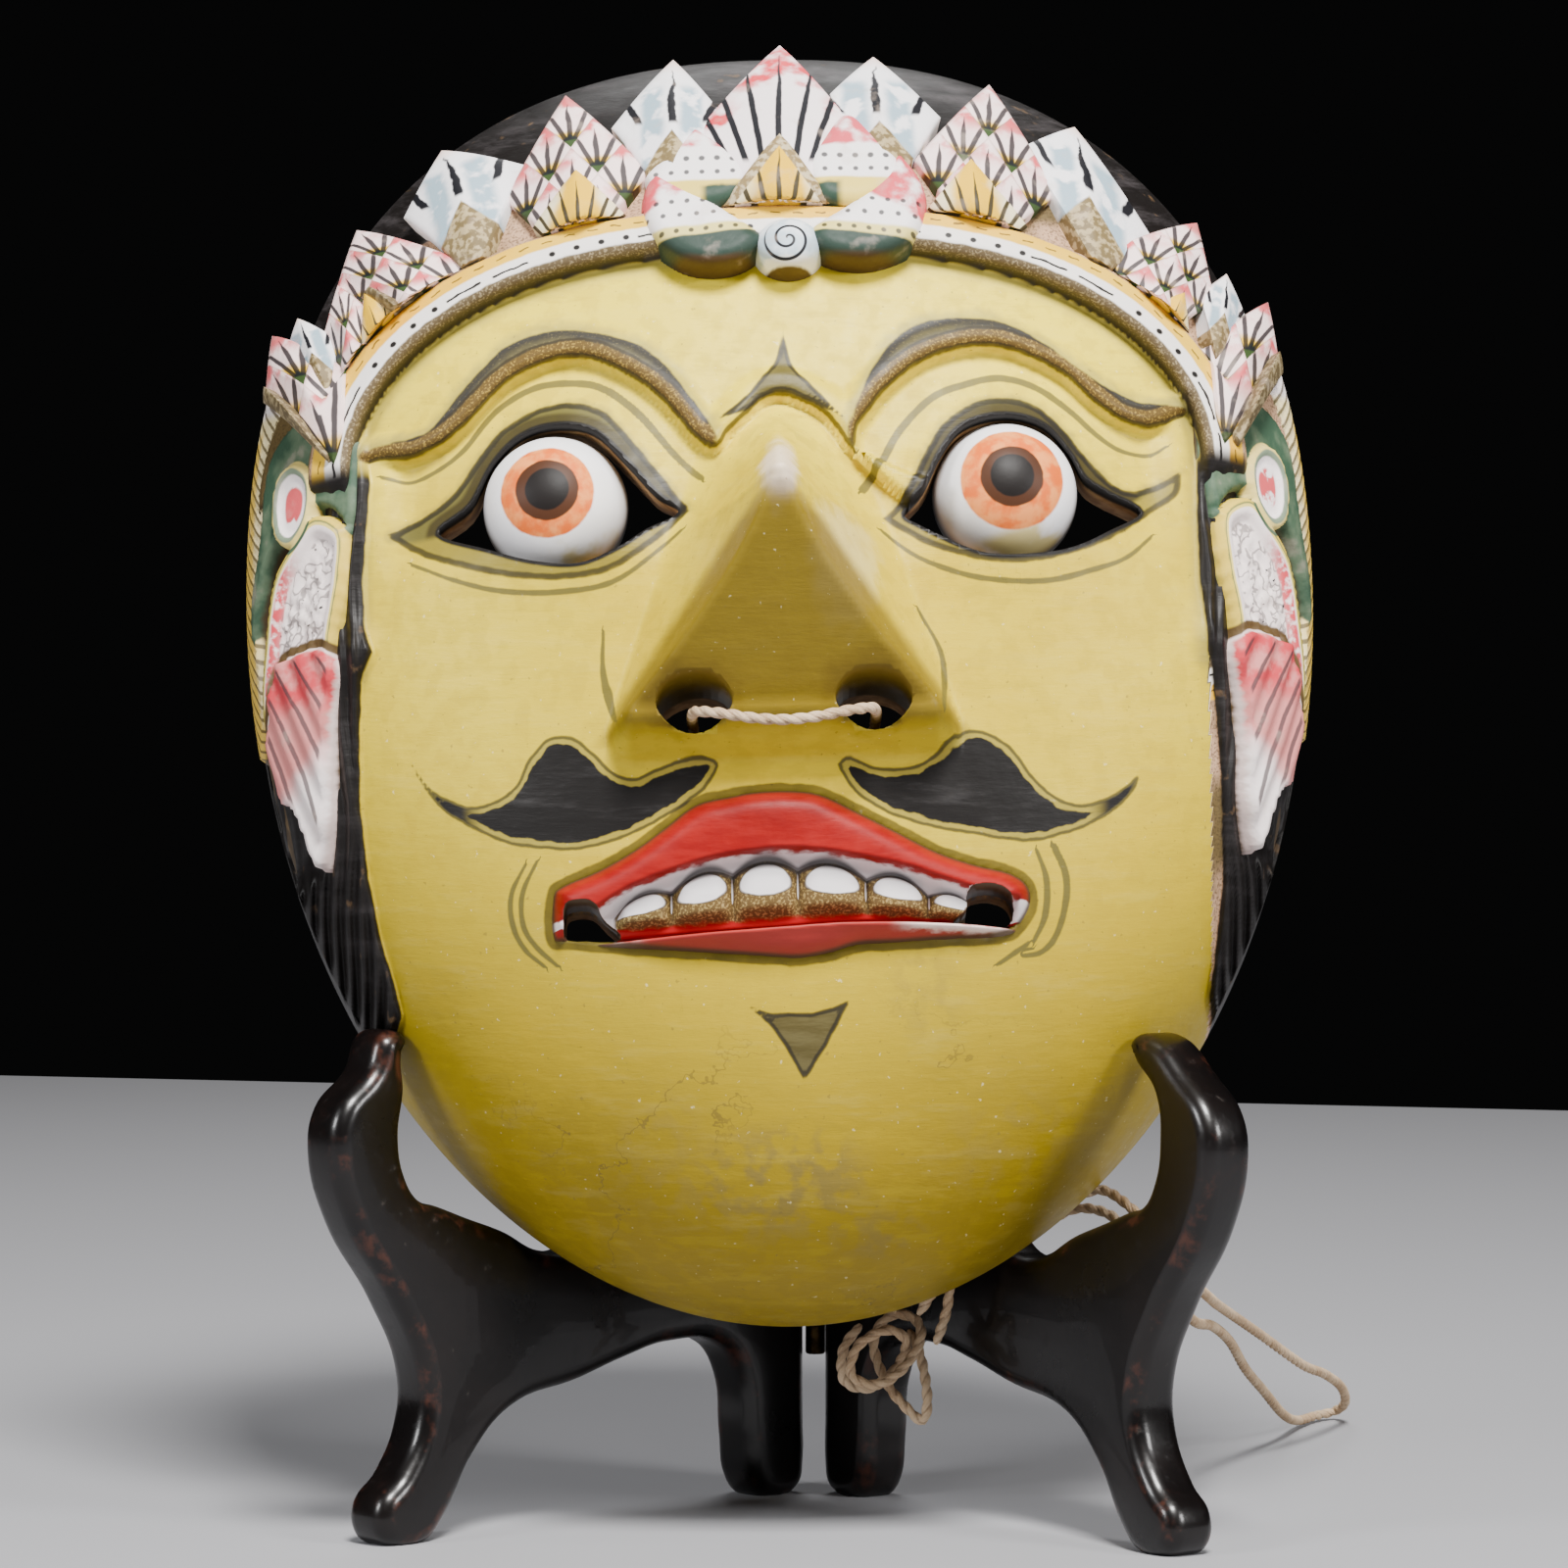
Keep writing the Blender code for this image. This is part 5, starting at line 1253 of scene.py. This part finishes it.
pink = (level + sway * 3 - (way - 45) * 0.35).over(-36, -30)
wing_colour = paint.mix(pink, colour(234, 222, 220), colour(206, 128, 124))
red = (level + sway * 2 + (way - 45) * 0.1).over(-26, -21) * cloud.over(0.35, 0.55)
wing_colour = paint.mix(red, wing_colour, colour(192, 58, 66))
curve_way = way + (level + 18) * 0.55 + ((level + 30) * 0.12) ** 2
veins = ((curve_way + sway * 0.6) * (1 / 6.5)).fraction()
veins = (veins - 0.5).near(0.05, 0.1) * wing.over(1, 1.8) * 0.85
wing_colour = paint.mix(veins, wing_colour, colour(64, 54, 56))
wing_colour = paint.mix(wing.under(0.2, 0.6), wing_colour, colour(214, 192, 186))
tone = paint.mix((wing + sway * 0.2).over(-1.6, -1.1) * level.over(-34, -30), tone, colour(84, 66, 38))
tone = paint.mix(wing.over(-0.15, 0.15), tone, wing_colour)
leaf_finish(paint, tone, cloud, fine)
ear_paint = paint.material
share = np.linspace(0, 1, 120)
for side, name in ((-1, "left"), (1, "right")):
    turn, z = np.meshgrid(pi / 2 - (pi / 2 - 0.80) * share ** 1.7, np.arange(-51, 35, 0.5), indexing="ij")
    height = np.where(z > 0, CROWN_HEIGHT, CHIN_DROP)
    power = np.where(z > 0, CROWN_SQUARENESS, JAW_SQUARENESS)
    x = 0.999 * side * TEMPLE * (1 - np.abs(z / height) ** power) ** (1 / power) * np.sin(turn)
    way = dome_depth(x, z) + TEMPLE - np.abs(x) + (2 if side > 0 else 0)
    oval, small, wing, fan, plate = (inside(points, way, z, 4, 3)
                                     for points in (OVAL, SMALL_OVAL, WING, FAN, PLATE))
    grooves = np.cos((way * 0.55 + z) * 2 * pi / 2.3) > 0.6
    lift = 2.2 * ease(fan, -0.3, 0.6) - 0.35 * ease(fan, 0, 1) * grooves
    lift = np.maximum(lift, 2.7 * ease(plate, -0.3, 0.6))
    blossom = 0.5 * np.sin(way * 1.5 + np.sin(z * 0.7) * 2) * np.sin(z * 1.3 + np.sin(way * 0.5) * 2)
    oval_lift = 3.6 * ease(oval, -0.3, 0.7) - 1.1 * ease(oval, 2.5, 4) + blossom * ease(oval, 4, 6)
    lift = np.maximum(lift, oval_lift)
    lift = np.maximum(lift, 3.6 * ease(small, -0.3, 0.7) - 0.9 * ease(small, 1.5, 3))
    ribs = 0.35 * np.sin((way + (z + 18) * 0.55) * 2 * pi / 6.5)
    lift = np.maximum(lift, (4 + ribs) * ease(wing, -0.3, 0.7))
    outer = np.maximum.reduce([oval, small, wing, fan, plate])
    lift -= 2.4 * ease(-outer, 0.2, 1.0)
    lift = lift * (0.25 + 0.75 * ease(way, 5, 36)) * ease(way, 0, 5)
    ear = closed_sheet(f"ear_{name}", on_dome(x, z, lift), on_dome(x, z, np.full(x.shape, -3.0)), ear_paint)
    store(ear, oval=oval, small=small, wing=wing, fan=fan, plate=plate, way=way, level=z)
    settle(ear)


# Stand: two folding boards of black lacquered wood, sawn to one outline with rounded edges. The lacquer is
# thin and reddish brown along the worn edges. The fold is at the back, behind the mask.
BOARD = 0.0092
BOARD_ROUND = 0.0028
LEFT_SWING = radians(46)
RIGHT_SWING = radians(35.5)
HINGE_X = 0.0059
HINGE_Y = 0.0457
HINGE_GAP = 0.0014
BOARD_OUTLINE = [(0, .0050), (.0008, .0015), (.0035, -.0003), (.0088, -.0003), (.0117, .0026),
                 (.0130, .0100), (.0142, .0195), (.0185, .0250), (.0290, .0264), (.0385, .0247),
                 (.0480, .0222), (.0630, .0188), (.0708, .0120), (.0762, .0036), (.0805, -.0002),
                 (.0865, -.0003), (.0893, .0020), (.0892, .0066), (.0850, .0108), (.0812, .0180),
                 (.0809, .0255), (.0862, .0366), (.0948, .0490), (.0982, .0600), (.0968, .0668),
                 (.0910, .0722), (.0840, .0778), (.0800, .0768), (.0808, .0742), (.0842, .0690),
                 (.0852, .0620), (.0840, .0560), (.0812, .0522), (.0770, .0508), (.0715, .0488),
                 (.0640, .0462), (.0560, .0426), (.0470, .0430), (.0380, .0560), (.0310, .0760),
                 (.0255, .0980), (.0200, .1110), (.0110, .1150), (.0030, .1130), (0, .1060), (0, .0980),
                 (0, .0130)]
lacquer = Paint("black_lacquer")
cloud, fine = lacquer.noise(60, 4), lacquer.noise(600, 4)
rounding, worn = lacquer.field("rounding"), lacquer.noise(90, 5, roughness=0.7)
lacquer_tone = lacquer.mix(cloud.over(0.4, 0.7), colour(8, 6, 6), colour(15, 10, 9))
red_wear = rounding * (worn + fine * 0.3).over(0.68, 0.84) * 0.7
lacquer_tone = lacquer.mix(red_wear, lacquer_tone, colour(70, 36, 24))
lacquer_tone = lacquer.mix(fine.over(0.7, 0.76) * 0.2, lacquer_tone, colour(82, 74, 68))
lacquer.finish(lacquer_tone, 0.22 + cloud * 0.14 + fine.over(0.55, 0.75) * 0.12,
               cloud * 0.6 + fine * 0.12, 0.00022,
               Coat_Weight=0.15, Specular_IOR_Level=0.35)


def board(name, side, swing, trim):
    """One folding half of the stand."""
    curve = bpy.data.curves.new(name, "CURVE")
    curve.dimensions = "2D"
    curve.fill_mode = "BOTH"
    curve.extrude = BOARD / 2 - BOARD_ROUND
    curve.bevel_depth = BOARD_ROUND
    curve.bevel_resolution = 5
    curve.offset = -BOARD_ROUND
    curve.resolution_u = 8
    spline = curve.splines.new("BEZIER")
    spline.bezier_points.add(len(BOARD_OUTLINE) - 1)
    spline.use_cyclic_u = True
    for point, (reach, height) in zip(spline.bezier_points, BOARD_OUTLINE):
        point.co = (reach + trim if reach > 0.05 and height > 0.074 else reach, height, 0)
        point.handle_left_type = point.handle_right_type = "AUTO"
    outline = bpy.data.objects.new(name, curve)
    bpy.context.scene.collection.objects.link(outline)
    graph = bpy.context.evaluated_depsgraph_get()
    mesh = bpy.data.meshes.new_from_object(outline.evaluated_get(graph))
    bpy.data.objects.remove(outline)
    work = bmesh.new()
    work.from_mesh(mesh)
    for vertex in work.verts:
        vertex.co.y = max(vertex.co.y, 0.00005)
    bmesh.ops.remove_doubles(work, verts=work.verts, dist=0.00002)
    bmesh.ops.recalc_face_normals(work, faces=work.faces)
    work.to_mesh(mesh)
    work.free()
    mesh.shade_smooth()
    mesh.set_sharp_from_angle(angle=radians(50))
    mesh.materials.clear()
    mesh.materials.append(lacquer.material)
    made = bpy.data.objects.new(f"{name}_wood", mesh)
    bpy.context.scene.collection.objects.link(made)
    thick = np.abs(points_of(made)[:, 2])
    rounding = ease(thick, BOARD / 2 - BOARD_ROUND - 0.0003, BOARD / 2 - 0.0012)
    store(made, rounding=rounding * (thick < BOARD / 2 - 0.00002))
    along = Vector((side * sin(swing), -cos(swing), 0))
    outward = Vector((side * cos(swing), sin(swing), 0))
    corner = Vector((HINGE_X + side * HINGE_GAP / 2, HINGE_Y, 0))
    up = Vector((0, 0, 1))
    turn = Matrix((along, up, along.cross(up))).transposed().to_4x4()
    mesh.transform(Matrix.Translation(corner + outward * BOARD / 2) @ turn)
    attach(made, "root")
    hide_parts(name)


board("stand_left", -1, LEFT_SWING, 0.0038)
board("stand_right", 1, RIGHT_SWING, -0.0016)


# Hinges: two small butt hinges of dull brass behind the boards' corner, painted dark as the shade there,
# each a barrel with three knuckles and two plates against the boards' inner edges.
FIT = 0.0003
BARREL_RADIUS = 0.0016
BARREL_LENGTH = 0.016
PLATE = 0.0008
PLATE_WIDTH = 0.005
# painted shade: the brass is painted near black, as the shade behind the boards' corner
shaded_brass = Paint("brass_darkened_as_shade")
shaded_brass_tone = shaded_brass.mix(shaded_brass.noise(700, 4).over(0.4, 0.65), colour(34, 26, 16), colour(66, 52, 30))
shaded_brass.finish(shaded_brass_tone, 0.5, Metallic=1.0)


def settle_hinge(piece, node):
    """Attach one part of a hinge to the stand and hide its node."""
    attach(piece, "root")
    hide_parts(node)


outwards = [Vector((side * cos(swing), sin(swing), 0))
            for side, swing in ((-1, LEFT_SWING), (1, RIGHT_SWING))]
half_angle = outwards[0].angle(outwards[1]) / 2
middle = (outwards[0] + outwards[1]).normalized()
away = (BARREL_RADIUS + FIT) / sin(half_angle)
start = away * cos(half_angle) + BARREL_RADIUS + FIT
heights = np.array([-0.5, -0.485, -0.18, -0.167, -0.154, 0.154, 0.167, 0.18, 0.485, 0.5]) * BARREL_LENGTH
radii = np.array([0.86, 1, 1, 0.82, 1, 1, 0.82, 1, 1, 0.86]) * BARREL_RADIUS
turn = np.arange(24) * 2 * pi / 24
for number, level in enumerate((0.030, 0.084), 1):
    centre = Vector((HINGE_X, HINGE_Y, level)) + middle * away
    rings = np.stack([np.outer(radii, np.cos(turn)), np.outer(radii, np.sin(turn)),
                      np.repeat(heights[:, None], 24, 1)], -1) + np.array(centre)
    index = np.arange(rings.shape[0] * 24).reshape(-1, 24)
    turned = np.roll(index, -1, 1)
    faces = np.stack([index[:-1], turned[:-1], turned[1:], index[1:]], -1).reshape(-1, 4).tolist()
    faces += [index[0, ::-1].tolist(), index[-1].tolist()]
    barrel = add_piece(f"hinge_knuckles_{number}", rings.reshape(-1, 3), faces, shaded_brass.material)
    barrel.data.set_sharp_from_angle(angle=radians(40))
    settle_hinge(barrel, f"hinge_barrel_{number}")
    for side, swing, outward, label in zip((-1, 1), (LEFT_SWING, RIGHT_SWING), outwards, ("left", "right")):
        along = Vector((side * sin(swing), -cos(swing), 0))
        corner = Vector((HINGE_X + side * HINGE_GAP / 2, HINGE_Y, level))
        place = corner + outward * (start + PLATE_WIDTH / 2) - along * (FIT + PLATE / 2)
        ends = (-0.5, 0.5)
        upward = Vector((0, 0, BARREL_LENGTH))
        corners = [place + outward * (a * PLATE_WIDTH) + along * (b * PLATE) + upward * c
                   for a in ends for b in ends for c in ends]
        sides = [(0, 1, 3, 2), (4, 6, 7, 5), (0, 4, 5, 1), (2, 3, 7, 6), (0, 2, 6, 4), (1, 5, 7, 3)]
        plate = add_piece(f"hinge_leaf_{label}_{number}", np.array(corners), sides, shaded_brass.material, False)
        settle_hinge(plate, f"hinge_plate_{label}_{number}")


# Twine: two plies of tan natural fibre, twisted. One strand goes through the nostrils and down the hollow,
# a doubled loop goes over the right board to the surface, and a knot joins them.
TWINE = 0.0017
TWIST = 0.0048
NOSE_ROUTE = [(15.2, 9, -109.6), (14.6, 6.8, -107.4), (14.2, 3.6, -103.6), (13.8, 1.2, -100.9),
              (13.4, -3.2, -98.6), (13, -14, -90), (12.8, -26, -73), (12.8, -36, -55), (13, -40, -42.5),
              (13.1, -43.5, -36.8), (13.2, -46.8, -33.8), (13.3, -52, -33.1), (13.4, -57, -33.2),
              (13.3, -62, -33.6), (12.5, -66, -34.2), (9, -68.4, -35.2), (4.5, -69.2, -36.2),
              (0, -69.4, -36.6), (-4.5, -69.2, -36.2), (-9, -68.4, -35.2), (-12.5, -66, -34.2),
              (-13.3, -62, -33.6), (-13.4, -57, -33.2), (-13.3, -52, -33.1), (-13.2, -46.8, -33.8),
              (-13.1, -43.5, -36.8), (-12.6, -40, -42.5), (-9, -36, -55), (-3, -26, -73), (4, -14, -90),
              (8.4, -3.2, -99.6), (9.2, 1.2, -102), (9.9, 3.6, -104.7), (10.6, 6.8, -107.4),
              (11.2, 9, -109.6)]
LOOP_ROUTE = [(.0219, .0118, .0323), (.0240, .0100, .0358), (.0275, .0078, .0405), (.0315, .0065, .0450),
              (.0370, .0085, .0472), (.0425, .0100, .0490), (.0470, .0096, .0511), (.0505, .0084, .0519),
              (.0545, .0040, .0495), (.0590, .0020, .0445), (.0640, .0082, .0380), (.0680, .0232, .0335),
              (.0712, .0442, .0298), (.0793, .0717, .0225), (.0882, .0937, .0148), (.0932, .1077, .0115),
              (.0973, .1217, .0076), (.0988, .1307, .0038), (.0974, .1357, .0016), (.0936, .1322, .0012),
              (.0897, .1222, .0017), (.0859, .1057, .0050), (.0815, .0897, .0108), (.0772, .0737, .0165),
              (.0735, .0577, .0228), (.0695, .0412, .0272), (.0655, .0222, .0300), (.0608, .0057, .0355),
              (.0560, .0040, .0425), (.0522, .0082, .0476), (.0470, .0122, .0488), (.0415, .0125, .0468),
              (.0372, .0113, .0471), (.0308, .0076, .0444), (.0272, .0080, .0392), (.0262, .0100, .0330),
              (.0246, .0120, .0277)]
fibre = Paint("twine_fibre")
cloud, fine = fibre.noise(150, 3), fibre.noise(2500, 3)
ply, strand = fibre.field("ply"), fibre.field("strand")
twine_tone = fibre.mix(cloud.over(0.35, 0.65), colour(168, 138, 104), colour(196, 170, 138))
# painted shade: darker in the groove between the two plies
twine_tone = fibre.mix(ply.under(0.1, 0.5) * 0.6, twine_tone, colour(108, 78, 50))
twine_tone = fibre.mix(strand * 0.35 * fine.over(0.3, 0.6), twine_tone, colour(222, 204, 178))
fibre.finish(twine_tone, 0.85, fine * 0.8 + strand * 0.4, 0.00012)


def even_route(route, step):
    """Places at even steps along a smooth curve through a route."""
    line = smooth_line(route, 24)
    reach = np.concatenate([[0], np.cumsum(np.linalg.norm(np.diff(line, axis=0), axis=1))])
    even = np.linspace(0, reach[-1], int(reach[-1] / step))
    return np.stack([np.interp(even, reach, line[:, axis]) for axis in range(3)], -1), reach[-1]


def twisted(name, route, diameter, step=0.00045, sides=16):
    """Two-ply twine mesh along a route: two round lobes that turn about each other."""
    line, length = even_route(route, step)
    ahead = np.gradient(line, axis=0)
    ahead /= np.linalg.norm(ahead, axis=1, keepdims=True)
    across = np.zeros_like(line)
    last = np.cross(ahead[0], (0.3, 0.5, 0.8))
    for number, direction in enumerate(ahead):
        last = last - direction * (last @ direction)
        last = last / np.linalg.norm(last)
        across[number] = last
    up = np.cross(ahead, across)
    turn = np.arange(sides) * 2 * pi / sides
    twist = np.arange(len(line))[:, None] * step * 2 * pi / TWIST
    lobe = np.abs(np.cos(turn[None, :] - twist))
    reach = diameter / 2 * (0.62 + 0.38 * lobe ** 0.8)
    thin = ease(np.minimum(np.arange(len(line)), np.arange(len(line))[::-1]), -1, 3)[:, None]
    reach = reach * (0.3 + 0.7 * thin)
    rings = line[:, None] + (reach * np.cos(turn))[..., None] * across[:, None]
    rings = rings + (reach * np.sin(turn))[..., None] * up[:, None]
    index = np.arange(len(line) * sides).reshape(len(line), sides)
    turned = np.roll(index, -1, 1)
    faces = np.stack([index[:-1], turned[:-1], turned[1:], index[1:]], -1).reshape(-1, 4).tolist()
    faces += [index[0, ::-1].tolist(), index[-1].tolist()]
    made = add_piece(name, rings.reshape(-1, 3), faces, fibre.material)
    hair = np.sin(turn[None, :] * 7 + twist * 5) * 0.5 + 0.5
    store(made, ply=lobe.ravel(), strand=np.broadcast_to(hair, lobe.shape).ravel())
    return made, line, length


def declare_twine(made, node, line, length, exit):
    """Ride and replace a strand."""
    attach(made, "root")
    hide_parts(node)
    tuple(exit)
    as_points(line[::3].tolist() + [line[-1].tolist()])


nose_route = [tuple(mask_scaled @ Vector(p)) for p in NOSE_ROUTE]
strand_mesh, line, length = twisted("twine_nose_ply", nose_route, TWINE)
declare_twine(strand_mesh, "twine_nose", line, length, line[0])
strand_mesh, line, length = twisted("twine_loop_ply", LOOP_ROUTE, TWINE)
declare_twine(strand_mesh, "twine_loop", line, length, line[0])
KNOT = (.0165, .0137, .0245)
KNOT_ROUTE = [(-.0035, .0005, .0060), (-.0062, .0010, .0020), (-.0060, .0022, -.0030),
              (-.0020, .0030, -.0042), (.0020, .0020, -.0010), (.0035, -.0012, .0035),
              (.0005, -.0030, .0055), (-.0040, -.0028, .0030), (-.0050, -.0022, -.0015),
              (-.0010, -.0028, -.0030), (.0030, -.0024, -.0005), (.0058, -.0010, .0040),
              (.0048, .0015, .0068), (.0010, .0028, .0070), (-.0015, .0020, .0030),
              (.0005, .0000, -.0030), (.0040, -.0014, -.0072), (.0062, -.0018, -.0086),
              (.0068, -.0014, -.0050), (.0058, .0008, .0010), (.0040, .0022, .0050)]
knot_route = [tuple(np.array(KNOT) + p) for p in KNOT_ROUTE]
knot, line, length = twisted("twine_knot_ply", knot_route, TWINE)
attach(knot, "root")
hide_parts("twine_knot")


for cutter in list(cuts.objects):
    bpy.data.objects.remove(cutter)
